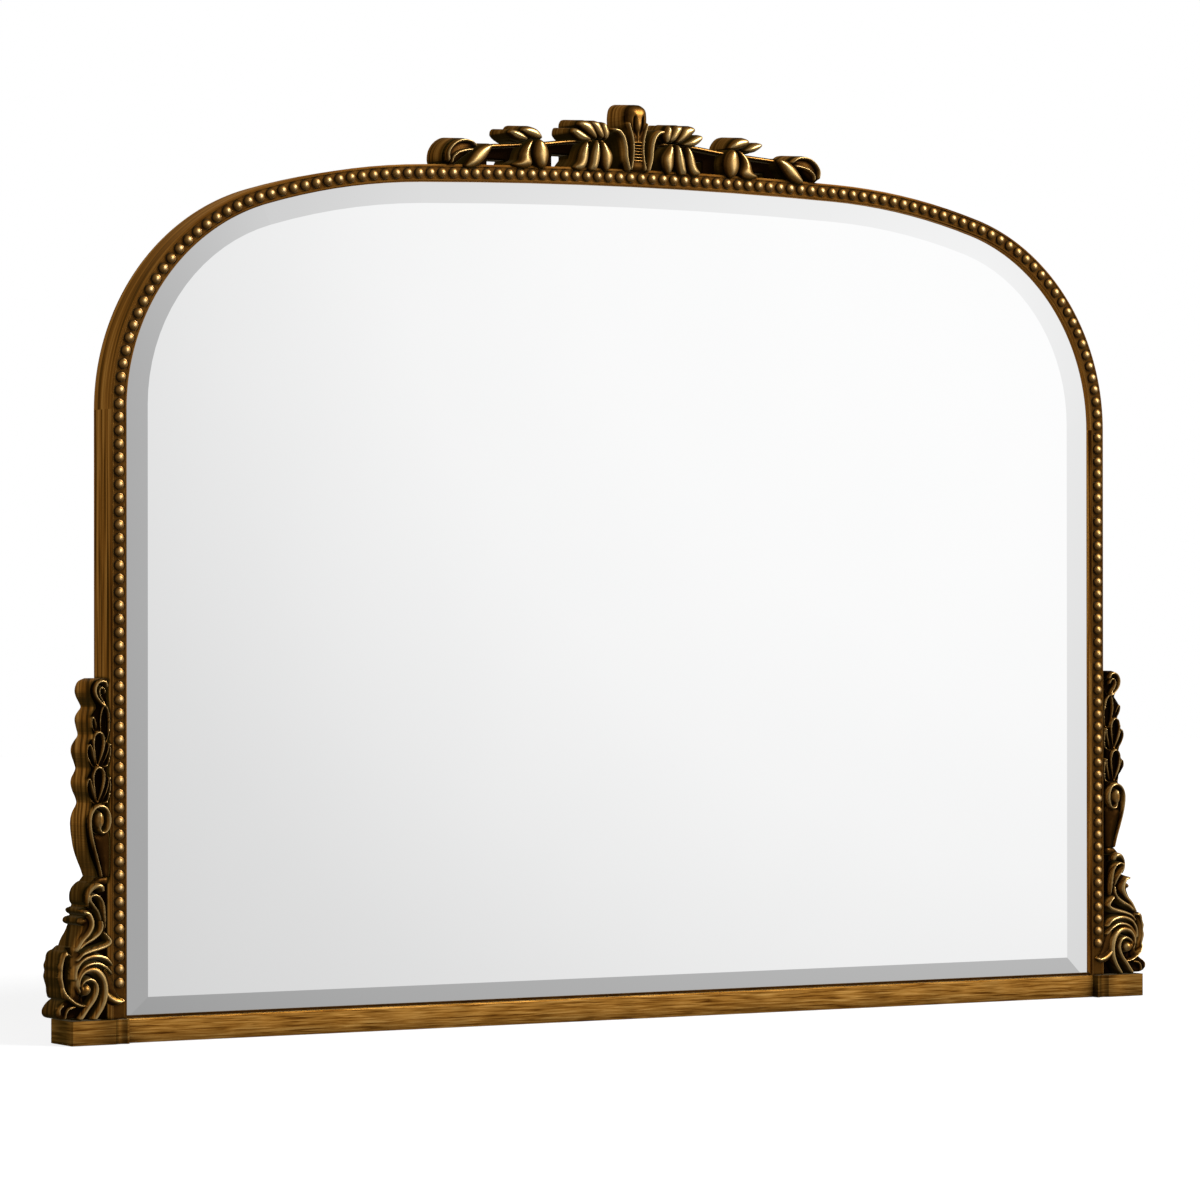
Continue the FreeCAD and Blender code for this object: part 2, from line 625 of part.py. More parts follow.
# Outlines of the side ornaments as (distance from the stile, height over the plinth block)
DROP_EDGE = [(12.5, 0), (15, 7), (17.6, 13), (20.4, 20), (22.8, 28), (24.2, 36), (25.2, 43), (25.6, 50),
             (25, 56), (23, 61.5), (19.8, 67), (19.2, 70.5), (20.8, 75.5), (23.4, 81), (25, 87),
             (24.6, 92), (22.4, 96.5), (20.2, 101.5), (21.4, 106.5), (23.6, 112.5), (24.9, 118),
             (24.2, 123), (21.6, 127.5), (18.2, 132), (18, 135.5), (19.4, 140.5), (20.8, 147),
             (20, 151.5), (17.4, 155.5), (14.6, 159.5), (16.4, 164), (19.4, 169.5), (20.8, 175),
             (19.6, 180.5), (16.6, 184.5), (10.5, 187)]
DROP_EYE = (13.2, 54.0)
DROP_RING_RADIUS = 12.4
DROP_RING_WIDTH = 3.0
DROP_EYE_RADIUS = 6.2
HUSKS = (
    ((13.5, 70), (13.3, 103.5), 11), ((15, 72), (22.6, 92), 7), ((9, 71), (3.8, 95), 6),
    ((13.5, 103), (13.3, 136.5), 11), ((16, 106), (22, 124), 6), ((8, 104), (3.6, 127), 6),
    ((8, 131), (6.8, 160.5), 10), ((14.5, 134.5), (15.4, 154.5), 7),
    ((5, 165), (14.6, 182.5), 10),
)
BRACKET_EDGE = [(37.5, 0), (38.5, 18), (40, 40), (40, 58), (38, 69), (34.8, 76.5), (31, 82.5), (28, 90),
                (26, 99), (24.5, 107), (20.6, 119), (16.5, 129)]
BRACKET_LOBES = [
    [(33, 19.5), (44, 19.5), (48, 20.5), (49.6, 26), (50, 31), (51.6, 37), (52.4, 41), (51.6, 46), (52.2, 51),
     (50.4, 56), (50, 60), (48.8, 63.4), (45.5, 66.5), (36, 67.5)],
    [(28, 5), (38, 1.4), (46, 1), (51, 1.6), (54.4, 4), (55, 8.4), (53, 12.4), (49.4, 16.4), (44, 20),
     (36, 22.6), (29, 22)],
    [(19, 88.5), (27, 88.6), (32.4, 90.6), (33.4, 93.4), (30.5, 96.4), (19, 97.4)],
    [(19, 95.5), (26.5, 98.4), (30.2, 101.4), (29, 104.4), (19, 106)],
    [(7, 130.5), (16.5, 129.4), (21.4, 126.4), (25, 122), (26.6, 116), (25.6, 109.5), (20, 105.5),
     (11, 110.5), (6, 122)],
]
LEAF_TIP = [(-12.5, 18), (-7.5, 22), (-3.5, 27.5), (2.5, 33), (7, 27), (6, 17), (1.5, 13.6), (-4, 12.5),
            (-9.5, 14.5)]
VOLUTE_EYE = (27.5, 28.7)
VOLUTE_RADIUS = 16.0
VOLUTE_RING_WIDTH = 3.2
VOLUTE_EYE_RADIUS = 7.0


def at_side(points, lift=0.0):
    return [(STILE_OUTER + x, BASE_HEIGHT + lift + z) for x, z in points]


def side_ornaments():
    front = FACE_Y - SIDE_PROUD
    relief = front - SIDE_RELIEF
    corners = at_side([(0, DROP_EDGE[-1][1]), (0, 0)], WAIST_HEIGHT)
    drop = slab(at_side(DROP_EDGE, WAIST_HEIGHT), corners, front, SIDE_BACK_Y)
    eye = at_side([DROP_EYE], WAIST_HEIGHT)[0]
    raised = [
        ring(eye, DROP_RING_RADIUS, DROP_RING_RADIUS - DROP_RING_WIDTH, relief, FACE_Y),
        boss(eye, DROP_EYE_RADIUS, relief, FACE_Y),
    ]
    for base, tip, width in HUSKS:
        start, end = at_side([base, tip], WAIST_HEIGHT)
        raised.append(lobe(start, end, width, relief + LEAF_STEP, FACE_Y))
    add_pair("husk_drop", drop.fuse(raised))
    corners = at_side([(DROP_EDGE[0][0], WAIST_HEIGHT), (0, WAIST_HEIGHT), (0, 0)])
    bracket = slab(at_side(BRACKET_EDGE), corners, front, SIDE_BACK_Y)
    lobes = []
    for index, points in enumerate(BRACKET_LOBES):
        lobes.append(leaf(at_side(points), front - LEAF_STEP * (1 + index % 2), SIDE_BACK_Y))
    eye = at_side([VOLUTE_EYE])[0]
    lobes.append(ring(eye, VOLUTE_RADIUS, VOLUTE_RADIUS - VOLUTE_RING_WIDTH, relief, FACE_Y))
    lobes.append(boss(eye, VOLUTE_EYE_RADIUS, relief, FACE_Y))
    seat_y = FACE_Y - SEAT_CLEARANCE
    lobes.append(leaf(at_side(LEAF_TIP), seat_y - LEAF_TIP_PROUD, seat_y))
    add_pair("scroll_bracket", bracket.fuse(lobes))


CREST_PIN_PLACES = (("crest_cartouche", 0.0), ("right_crest_spray", 36.0), ("right_crest_spray", 112.0),
                    ("right_crest_spray", 170.0))
SIDE_PIN_PLACES = (("right_husk_drop", 166.0), ("right_husk_drop", 280.0), ("right_scroll_bracket", 30.0),
                   ("right_scroll_bracket", 110.0))


def ornament_pins():
    """Pins from the crown rail up into the crest, and from the stiles out into the side ornaments."""
    crest_pins, side_pins = [], []
    for name, x in CREST_PIN_PLACES:
        seat = CROWN_CENTRE.z + math.sqrt((CROWN_RADIUS + FACE_HALF) ** 2 - x * x)
        place = Vector(x, WALL_MIDDLE_Y, seat)
        pegs = pin_pair(place, Z_AXIS, CREST_PIN_REACH, ["crown_rail", name])
        crest_pins += pegs if x else pegs[:1]
    for name, height in SIDE_PIN_PLACES:
        place = Vector(STILE_OUTER, WALL_MIDDLE_Y, BASE_HEIGHT + height)
        side_pins += pin_pair(place, X_AXIS, SIDE_PIN_REACH, ["right_stile", name])
    parts["crest_pins"] = Part.makeCompound(crest_pins)
    parts["side_ornament_pins"] = Part.makeCompound(side_pins)


# Hangers

def hanger_ring(pivot):
    """D-shaped ring of round wire that hangs from its straight bar."""
    straight = RING_RADIUS - RING_CORNER
    wire = RING_WIRE_RADIUS
    bar = Part.makeCylinder(wire, 2 * straight, pivot - X_AXIS * straight, X_AXIS)
    corner_centre = pivot + Vector(straight, 0, -RING_CORNER)
    corner_start = Part.Face(Part.Wire(Part.makeCircle(wire, pivot + X_AXIS * straight, X_AXIS)))
    corner = corner_start.revolve(corner_centre, Y_AXIS, 90)
    bow_centre = pivot - Z_AXIS * RING_CORNER
    bow_start = Part.Face(Part.Wire(Part.makeCircle(wire, bow_centre + X_AXIS * RING_RADIUS, Z_AXIS)))
    bow = bow_start.revolve(bow_centre, Y_AXIS, 180)
    left_corner = corner.mirror(pivot, X_AXIS)
    return bar.fuse([corner, left_corner, bow])


def hanger_strap(pivot):
    """Plate on the board with a raised loop at its top, in which the ring's bar turns."""
    hole = RING_WIRE_RADIUS + RING_CLEARANCE
    outer = hole + STRAP_THICKNESS
    half_loop = STRAP_LOOP_WIDTH / 2
    half = STRAP_WIDTH / 2
    face = BOARD_BACK_Y + STRAP_THICKNESS
    foot = pivot.z - STRAP_LENGTH
    head = pivot.z + outer
    plate = box(pivot.x - half, pivot.x + half, BOARD_BACK_Y, face, foot, head)
    loop_left, loop_right = pivot.x - half_loop, pivot.x + half_loop
    riser = box(loop_left, loop_right, BOARD_BACK_Y, pivot.y, pivot.z - outer, head)
    loop_start = pivot - X_AXIS * half_loop
    loop = Part.makeCylinder(outer, STRAP_LOOP_WIDTH, loop_start, X_AXIS)
    bore = Part.makeCylinder(hole, STRAP_LOOP_WIDTH, loop_start, X_AXIS)
    return plate.fuse([riser, loop]).cut(bore).removeSplitter()


def hangers():
    pivot = Vector(HANGER_HALF_SPAN, BOARD_BACK_Y + STRAP_STAND_OFF, HANGER_HEIGHT)
    add_pair("hanger_ring", hanger_ring(pivot))
    add_pair("hanger_strap", hanger_strap(pivot))
    screws = []
    for drop in STRAP_SCREWS:
        place = Vector(pivot.x, BOARD_BACK_Y + STRAP_THICKNESS, pivot.z - drop)
        made = screw(place, -Y_AXIS, HANGER_SCREW_RADIUS, HANGER_SCREW_LENGTH,
                     HANGER_SCREW_HEAD_RADIUS, HANGER_SCREW_HEAD_HEIGHT)
        start = place + Y_AXIS * FIT_CLEARANCE
        depth = HANGER_SCREW_LENGTH + 2 * FIT_CLEARANCE
        hole = Part.makeCylinder(HANGER_SCREW_RADIUS + FIT_CLEARANCE, depth, start, -Y_AXIS)
        drill(["right_hanger_strap", "backing_board"], hole)
        drill(["left_hanger_strap", "backing_board"], mirrored(hole))
        screws += [made, mirrored(made)]
    parts["hanger_screws"] = Part.makeCompound(screws)


frame_members()
base_members()
bead_runs()
glass_and_back()
fillets()
crest()
side_ornaments()
dowels()
ornament_pins()
fillet_screws()
hangers()

os.makedirs("parts", exist_ok=True)
for node, shape in parts.items():
    shape.exportStep("parts/" + node + ".step")
    print(node, len(shape.Solids), "solids", round(shape.Volume), "mm3", shape.isValid())
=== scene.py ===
import math

import bpy
import numpy as np
from mathutils import Matrix, Vector

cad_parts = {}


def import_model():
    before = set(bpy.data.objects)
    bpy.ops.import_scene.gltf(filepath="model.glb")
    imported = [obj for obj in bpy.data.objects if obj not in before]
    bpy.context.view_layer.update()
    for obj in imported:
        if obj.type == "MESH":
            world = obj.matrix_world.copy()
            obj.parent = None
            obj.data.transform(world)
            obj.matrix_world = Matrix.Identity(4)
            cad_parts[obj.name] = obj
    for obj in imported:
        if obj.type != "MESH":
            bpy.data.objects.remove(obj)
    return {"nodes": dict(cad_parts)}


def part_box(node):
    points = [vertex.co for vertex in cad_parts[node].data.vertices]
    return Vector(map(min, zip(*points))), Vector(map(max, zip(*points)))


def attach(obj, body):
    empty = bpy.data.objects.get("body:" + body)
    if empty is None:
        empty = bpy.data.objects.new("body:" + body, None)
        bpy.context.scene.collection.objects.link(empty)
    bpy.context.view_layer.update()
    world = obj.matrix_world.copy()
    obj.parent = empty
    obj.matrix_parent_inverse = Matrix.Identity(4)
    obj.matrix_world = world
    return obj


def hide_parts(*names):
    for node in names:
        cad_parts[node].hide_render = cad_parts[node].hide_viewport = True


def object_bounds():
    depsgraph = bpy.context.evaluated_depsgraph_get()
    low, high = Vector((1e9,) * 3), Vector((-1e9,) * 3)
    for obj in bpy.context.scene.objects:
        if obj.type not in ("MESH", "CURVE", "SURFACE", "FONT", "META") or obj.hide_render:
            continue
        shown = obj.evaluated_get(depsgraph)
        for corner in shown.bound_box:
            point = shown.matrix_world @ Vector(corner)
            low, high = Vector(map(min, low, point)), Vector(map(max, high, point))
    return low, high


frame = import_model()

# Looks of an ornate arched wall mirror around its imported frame. Blender works in metres. The carving is
# written in millimetres, which MM turns into metres, and heights are counted forward from the frame's face.
MM = 0.001
CAD_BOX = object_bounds()

# Places taken from the frame, in millimetres
STILE_LOW, STILE_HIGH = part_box("right_stile")
FACE_Y = STILE_LOW.y / MM
STILE_OUTER = STILE_HIGH.x / MM
BLOCK_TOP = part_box("right_plinth_block")[1].z / MM
CROWN_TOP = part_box("crown_rail")[1].z / MM
CREST_BACK = FACE_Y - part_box("crest_cartouche")[1].y / MM
SIDE_BACK = FACE_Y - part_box("right_husk_drop")[1].y / MM

# Radius of the crown rail's outer edge, and room between the carving and the frame
CROWN_RADIUS = 5908.5
SEAT = 0.15

# Grid steps of the carving, rings of points on its walls, and how near to its outline a grid point may lie
RELIEF_STEP = 0.42
LEAF_STEP = 0.55
WALL_RINGS = (0.25, 0.6, 1.0)
NEAREST = 0.12

# Drop of a front at its outline, squareness of strands, slope into husks, rise of the crest's tops by depth
ARRIS = 1.0
ARRIS_WIDTH = 1.2
STRAND_POWER = 2.6
HUSK_SLOPE = 1.2
CREST_LIFT = 0.09

# Rim of a husk from its root round to its root, as shares of its width and of its height
RIM_WIDTHS = (0.5, 0.9, 1.0, 1.0, 0.9, 0.5)
RIM_LEVELS = (0.35, 0.8, 1.0, 1.0, 0.8, 0.35)

# Painted light on the gold: shade in hollows within a reach, shade or highlight by height, shade on flanks
# and on bare ground, and a highlight on the rims of husks
CAVITY_REACH = 2.6
CAVITY_DEPTH = 4.0
DEPTH_TONE = 0.10
DEPTH_MIDDLE = 4.0
FLANK_SHADE = 0.6
GROUND_SHADE = -0.8
RIM_SHINE = 1.5


# Curves and distances

def curve_points(points, closed=False, per_span=8):
    """Places along a smooth curve through a few points."""
    given = np.array(points, float)
    count = len(given)
    spans = count if closed else count - 1
    index = np.arange(spans)[:, None] + (-1, 0, 1, 2)
    around = given[index % count if closed else np.clip(index, 0, count - 1)]
    t = np.linspace(0, 1, per_span, endpoint=False)[None, :, None]
    before, start, end, after = (around[:, k][:, None, :] for k in range(4))
    bend = 2 * before - 5 * start + 4 * end - after
    twist = 3 * (start - end) + after - before
    places = (0.5 * (2 * start + (end - before) * t + bend * t ** 2 + twist * t ** 3)).reshape(-1, 2)
    return places if closed else np.vstack([places, given[-1]])


def closed_curve(points):
    return curve_points(points, closed=True)


def path_distance(x, z, path, closed):
    """Distance from each place to a path, and where along it the nearest point lies, from 0 to 1."""
    ends = np.roll(path, -1, axis=0) if closed else path[1:]
    starts = path[:len(ends)]
    lengths = np.hypot(*(ends - starts).T) + 1e-9
    travel = np.concatenate([[0], np.cumsum(lengths)]) / lengths.sum()
    nearest = np.full(x.shape, np.inf)
    along = np.zeros(x.shape)
    for (ax, az), (bx, bz), length, s0, s1 in zip(starts, ends, lengths, travel, travel[1:]):
        dx, dz = bx - ax, bz - az
        t = np.clip(((x - ax) * dx + (z - az) * dz) / length ** 2, 0, 1)
        gap = np.hypot(x - ax - t * dx, z - az - t * dz)
        nearer = gap < nearest
        nearest[nearer] = gap[nearer]
        along[nearer] = s0 + t[nearer] * (s1 - s0)
    return nearest, along


def inside_distance(x, z, path):
    """Distance to a closed path, positive inside it."""
    gap, _ = path_distance(x, z, path, True)
    crossings = np.zeros(x.shape, int)
    for (ax, az), (bx, bz) in zip(path, np.roll(path, -1, axis=0)):
        if az == bz:
            continue
        spans = (az > z) != (bz > z)
        crossings += spans & (x < ax + (z - az) * (bx - ax) / (bz - az))
    return np.where(crossings % 2 == 1, gap, -gap)


def blurred(field, cells):
    """Mean of a field over a square window, taken twice for a soft edge."""
    width = 2 * cells + 1
    for _ in range(4):
        total = np.cumsum(np.pad(field, [(cells + 1, cells), (0, 0)], mode="edge"), axis=0)
        field = ((total[width:] - total[:-width]) / width).T
    return field


# Carving

class Carving:
    """A carved front on a fine grid, built up feature by feature, with walls that run back from its
    outline. At puts the points of a feature in place on the frame. A lift makes the tops of the walls rise
    towards the back. Ground is the painted shade of bare parts; the painted shade and highlights that the
    features lay on the carving are kept beside its height."""

    def __init__(self, outlines, at, floor, step=RELIEF_STEP, gaps=(), lift=0.0, ground=0.0):
        paths = [np.array(path, float) for path in outlines]
        low = np.min([path.min(0) for path in paths], axis=0) - 3 * step
        high = np.max([path.max(0) for path in paths], axis=0) + 4 * step
        self.at = at
        self.step = step
        self.x, self.z = np.meshgrid(np.arange(low[0], high[0], step), np.arange(low[1], high[1], step),
                                     indexing="ij")
        self.inside = np.max([inside_distance(self.x, self.z, path) for path in paths], axis=0)
        for gap in gaps:
            self.inside = np.minimum(self.inside, -inside_distance(self.x, self.z, np.array(gap, float)))
        self.lift = lift
        self.height = np.full(self.x.shape, float(floor))
        # Painted shade and highlights laid on the carving, starting from the painted shade of bare ground
        self.tone = np.full(self.x.shape, float(ground))

    def window(self, path, margin):
        """Part of the grid around a path."""
        low, high = path.min(0) - margin, path.max(0) + margin
        i = slice(*np.searchsorted(self.x[:, 0], [low[0], high[0]]))
        j = slice(*np.searchsorted(self.z[0], [low[1], high[1]]))
        return i, j

    def raise_to(self, place, level):
        self.height[place] = np.maximum(self.height[place], level)

    def hollow(self, points, level, soft=0.0):
        """Sinks the inside of an outline to a level, over a soft slope from its edge."""
        path = closed_curve(self.at(points))
        place = self.window(path, self.step)
        gap = inside_distance(self.x[place], self.z[place], path)
        share = np.clip(gap / soft, 0, 1) if soft else (gap > 0).astype(float)
        before = self.height[place]
        sunk = before + (np.minimum(before, level) - before) * np.sin(share * math.pi / 2)
        self.height[place] = np.where(gap > 0, sunk, before)

    def strand(self, points, widths, top, foot, shine=0.0):
        """Rounded strand along a curve. Its width and its top follow a few values from start to end.
        Its shine paints a highlight along its crest, and its flanks get painted shade."""
        path = curve_points(self.at(points))
        widths = np.atleast_1d(widths).astype(float)
        place = self.window(path, widths.max())
        gap, along = path_distance(self.x[place], self.z[place], path, False)
        radius = np.interp(along, np.linspace(0, 1, len(widths)), widths) / 2
        tops = np.atleast_1d(top).astype(float)
        level = np.interp(along, np.linspace(0, 1, len(tops)), tops)
        round_top = np.sqrt(np.clip(1 - (gap / radius) ** STRAND_POWER, 0, 1))
        self.raise_to(place, np.where(gap < radius, foot + (level - foot) * round_top, -np.inf))
        # Painted highlight along the crest by the shine, fading to painted shade on the flanks
        glow = shine - (shine + FLANK_SHADE) * gap / radius
        self.tone[place] = np.where(gap < radius, np.maximum(self.tone[place], glow), self.tone[place])

    def leaf(self, points, edge, crown, width=None):
        """Domed leaf that rises from its edge to a crown along its middle."""
        path = closed_curve(self.at(points))
        place = self.window(path, self.step)
        gap = inside_distance(self.x[place], self.z[place], path)
        rise = np.clip(gap / (width or gap.max()), 0, 1)
        dome = edge + (crown - edge) * np.sqrt(1 - (1 - rise) ** 2)
        self.raise_to(place, np.where(gap > 0, dome, -np.inf))
        # Inside a leaf, the painted shade of bare ground is lifted
        self.tone[place] = np.where(gap > 0, np.maximum(self.tone[place], 0), self.tone[place])

    def husk(self, points, rim, bowl, rim_width):
        """Hollow leaf with a thin rim that fades away at its root, which is the first point."""
        self.hollow(points, bowl, soft=HUSK_SLOPE)
        widths = np.array(RIM_WIDTHS) * rim_width
        tops = np.array(RIM_LEVELS) * (rim - bowl) + bowl
        self.strand(list(points) + [points[0]], widths, tops, foot=bowl, shine=RIM_SHINE)

    def shell(self, back, keen=True, wall=0.0):
        """Closed mesh of the carving: places, the painted shade or highlight of each place from its cavity,
        its height and the painted light laid on it, faces, and the places on each edge.
        """
        step = self.step
        height = self.height - ARRIS * np.clip(1 - self.inside / ARRIS_WIDTH, 0, 1) ** 2
        height = blurred(height, 1)
        # Painted shade in hollows and a painted highlight on ridges, darker towards the back and brighter
        # towards the front, plus the painted light laid on by features
        cavity = (height - blurred(height, max(1, round(CAVITY_REACH / step)))) / CAVITY_DEPTH
        cavity += DEPTH_TONE * (height - DEPTH_MIDDLE) + self.tone
        upward = np.clip(-np.gradient(self.inside, step, axis=1), 0, 1) * self.lift
        nearest = NEAREST * step
        inside = np.where(np.abs(self.inside) < nearest, nearest, self.inside)
        full, cut, rim = cut_squares(inside > 0)
        nx, nz = inside.shape
        used = np.unique(np.concatenate([full.ravel(), *cut]))
        kind, cell = np.divmod(used, nx * nz)
        i, j = np.divmod(cell, nz)
        i2, j2 = i + (kind == 1), j + (kind == 2)
        here, there = inside[i, j], inside[i2, j2]
        share = np.where(kind == 0, 0, here / np.where(kind == 0, 1, here - there))

        def along_edge(field):
            return field[i, j] + (field[i2, j2] - field[i, j]) * share

        flat = np.stack([along_edge(self.x), along_edge(height), along_edge(self.z)], 1)
        new = np.full(3 * nx * nz, -1)
        new[used] = np.arange(len(used))
        front = new[full].tolist() + [new[face].tolist() for face in cut]
        rim = new[rim].tolist()
        behind = along_edge(np.broadcast_to(np.asarray(back, float), height.shape))
        return close_shell(flat, along_edge(cavity), front, rim, behind, along_edge(upward), wall, keen,
                           np.ndim(back) == 0)


def cut_squares(within):
    """Faces of a grid cut along an outline: whole squares, cut squares and the edges on the outline.
    Corners are numbered first, then crossings on edges along x, then crossings on edges along z."""
    nx, nz = within.shape
    total = nx * nz
    corner = np.arange(total).reshape(nx, nz)
    corners = np.stack([corner[:-1, :-1], corner[1:, :-1], corner[1:, 1:], corner[:-1, 1:]], -1)
    corners = corners.reshape(-1, 4)
    flags = within.ravel()[corners]
    count = flags.sum(1)
    full = corners[count == 4]
    mixed = (count > 0) & (count < 4)
    cut, rim = [], []
    for (a, b, c, d), flag in zip(corners[mixed], flags[mixed]):
        crossings = (total + a, 2 * total + b, total + d, 2 * total + a)
        face, entries = [], []
        for k, vertex in enumerate((a, b, c, d)):
            if flag[k]:
                face.append(int(vertex))
            if flag[k] != flag[(k + 1) % 4]:
                face.append(int(crossings[k]))
                entries.append((int(crossings[k]), bool(flag[k])))
        cut.append(face)
        for k, (place, leaving) in enumerate(entries):
            if leaving:
                rim.append((place, entries[(k + 1) % len(entries)][0]))
    return full, cut, rim


def close_shell(flat, cavity, front, rim, behind, upward, wall_tone, keen, flat_back):
    """Adds walls and a back to a carved front, both with the wall's level of painted shade. A keen front has
    a sharp edge to its walls.
    """
    count = len(flat)
    edge = sorted({v for pair in rim for v in pair})
    place = {v: k for k, v in enumerate(edge)}
    points, cavities = [flat], [cavity]
    faces = list(front)
    ring = {v: v for v in edge}
    on_edge = [set(edge)] if keen else []
    start = count
    for level in WALL_RINGS:
        if level == 1 and not flat_back:
            lower = {v: start + v for v in edge}
            back = flat.copy()
            back[:, 1] = behind
            back[edge, 2] += upward[edge] * (flat[edge, 1] - behind[edge])
            points.append(back)
            cavities.append(np.full(count, wall_tone))
            faces += [[start + v for v in reversed(face)] for face in front]
            on_edge.append({start + v for v in edge})
        else:
            lower = {v: start + place[v] for v in edge}
            wall = flat[edge].copy()
            drop = (wall[:, 1] - behind[edge]) * level
            wall[:, 2] += upward[edge] * drop
            wall[:, 1] -= drop
            points.append(wall)
            cavities.append(np.full(len(edge), wall_tone))
            start += len(edge)
        faces += [[ring[b], ring[a], lower[a], lower[b]] for a, b in rim]
        ring = lower
    if flat_back:
        on_edge.append(set(ring.values()))
        follow = dict(rim)
        while follow:
            first, after = follow.popitem()
            loop = [first]
            while after != first:
                loop.append(after)
                after = follow.pop(after)
            faces.append([ring[v] for v in reversed(loop)])
    return np.vstack(points), np.concatenate(cavities), faces, on_edge


def added(name, data):
    """A new object in the scene."""
    made = bpy.data.objects.new(name, data)
    bpy.context.scene.collection.objects.link(made)
    return made


def carved_piece(node, shells, material, mirrored=False):
    """One Blender piece from closed shells, in the place of a CAD node."""
    name = node + "_carved"
    points, cavities, faces, sharp = [], [], [], []
    start = 0
    for shell_points, shell_cavities, shell_faces, on_edge in shells:
        points.append(shell_points)
        cavities.append(shell_cavities)
        faces += [[start + v for v in face] for face in shell_faces]
        sharp += [{start + v for v in group} for group in on_edge]
        start += len(shell_points)
    flat = np.vstack(points)
    side = -1 if mirrored else 1
    places = np.stack([flat[:, 0] * side, FACE_Y - flat[:, 1], flat[:, 2]], 1) * MM
    if mirrored:
        faces = [face[::-1] for face in faces]
    mesh = bpy.data.meshes.new(name)
    mesh.from_pydata(places.tolist(), [], faces)
    mesh.update()
    mesh.shade_smooth()
    group = np.zeros(len(places), int)
    for number, members in enumerate(sharp):
        group[list(members)] = number + 1
    ends = np.empty(2 * len(mesh.edges), int)
    mesh.edges.foreach_get("vertices", ends)
    first, second = group[ends.reshape(-1, 2)].T
    keen = mesh.attributes.new("sharp_edge", "BOOLEAN", "EDGE")
    keen.data.foreach_set("value", (first == second) & (first > 0))
    # Painted shade and highlight of each point, from dark in hollows and on walls to bright on ridges
    painted_relief_light = mesh.attributes.new("painted_relief_light", "FLOAT", "POINT")
    painted_relief_light.data.foreach_set("value", np.clip(0.5 + 0.5 * np.concatenate(cavities), 0, 1).astype(np.float32))
    piece = added(name, mesh)
    mesh.materials.append(material)
    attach(piece, "frame")
    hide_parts(node)
    return piece


# Side ornaments, as (distance from the stile, height over the plinth block)

WAIST = 134.0
# Level of painted shade on the walls of the husk drop and of the scroll bracket
SIDE_WALL_TONE = 0.05
BRACKET_WALL_TONE = -0.75
DROP_EDGE = [
    (12.5, 0), (15, 7), (17.6, 13), (20.4, 20), (22.8, 28), (24.2, 36), (25.2, 43), (25.6, 50), (25, 56),
    (23, 61.5), (19.8, 67), (19.2, 70.5), (20.8, 75.5), (23.4, 81), (25, 87), (24.6, 92), (22.4, 96.5),
    (20.2, 101.5), (21.4, 106.5), (23.6, 112.5), (24.9, 118), (24.2, 123), (21.6, 127.5), (18.2, 132),
    (18, 135.5), (19.4, 140.5), (20.8, 147), (20, 151.5), (17.4, 155.5), (14.6, 159.5), (16.4, 164),
    (19.4, 169.5), (20.8, 175), (19.6, 180.5), (16.6, 184.5), (10.5, 187)]
HUSK = [
    (0, 0), (-3.3, 9), (-5.7, 19), (-6.1, 26.5), (-4.2, 32), (-0.3, 34.5), (3.6, 32), (5.5, 26.5),
    (5, 18.5), (2.8, 8.5)]
HUSK_ROOTS = (((13.6, 204), 0.97), ((13.6, 238.5), 0.93))
SIDE_HUSKS = [
    [(14.6, 204), (17.4, 212), (20, 220), (22, 226), (24, 225.4), (24.8, 219), (22.8, 212), (18.4, 205)],
    [(9.4, 203), (5.6, 212), (3, 221), (2.2, 227.4), (1, 226), (0.6, 216), (2.6, 206)],
    [(14.8, 238), (17.4, 246), (19.6, 254), (21.8, 258.4), (24, 257), (24.8, 251.5), (22.8, 245),
     (18.2, 238.6)],
    [(9.4, 237), (5.6, 246), (3, 254), (2.2, 259.4), (1, 258), (0.6, 249), (2.6, 240)],
    [(8, 262), (10.2, 272), (11, 281), (10.2, 289), (7.4, 295.4), (3.2, 291), (1.2, 283), (1, 272),
     (3.4, 262)],
    [(14.4, 271), (15.6, 277.5), (17.6, 283), (19.4, 284.4), (20.2, 281.4), (19.4, 276.4), (16.8, 272)],
]
DROP_RIDGE = [
    (11, 134.5), (13.6, 145), (17.6, 158), (21.2, 171), (23.2, 183), (22.6, 192.5), (18.6, 199),
    (12.6, 201.2), (6.8, 198.8), (3.6, 192.5), (3.2, 184.5), (5.6, 178.4), (9.8, 176), (12.8, 178),
    (13.6, 182)]
DROP_TAPER = [(2, 135), (10, 135), (12.6, 146), (16.8, 160), (20, 172), (13, 175), (2, 176)]
DROP_HOLLOW = [
    (22, 186), (20, 194), (14.5, 199), (8, 197.5), (4.8, 190.5), (5, 183), (8.6, 177.5), (14.5, 175.5),
    (20, 179)]
DROP_EGG = (13.4, 188, 5.4, 8.8)
DROP_GROOVE = [(-2, 178), (2.4, 178), (3, 215), (3, 260), (3, 300), (2.4, 322), (-2, 322), (-2, 250)]
LOOP_OUTER = [
    (5.2, 313.6), (6.8, 317.4), (11, 318.6), (15.2, 316.4), (17.6, 311), (16.6, 305), (12.6, 299.4),
    (7.4, 295)]
LOOP_HOLLOW = [(2, 315), (8, 317), (14.4, 314.4), (16.4, 310.4), (14.8, 304.4), (10, 298.6), (4, 298)]
LOOP_INNER = [(6.4, 307.4), (8, 311.4), (11.2, 312.4), (13.2, 309), (12, 303.8), (9, 299.4), (7, 296)]


def at_side(points, lift=0):
    return [(STILE_OUTER + x, BLOCK_TOP + lift + z) for x, z in points]


def oval(x, z, half_width, half_height, count=12):
    turns = np.linspace(0, 2 * math.pi, count, endpoint=False)
    return [(x + half_width * math.cos(t), z + half_height * math.sin(t)) for t in turns]


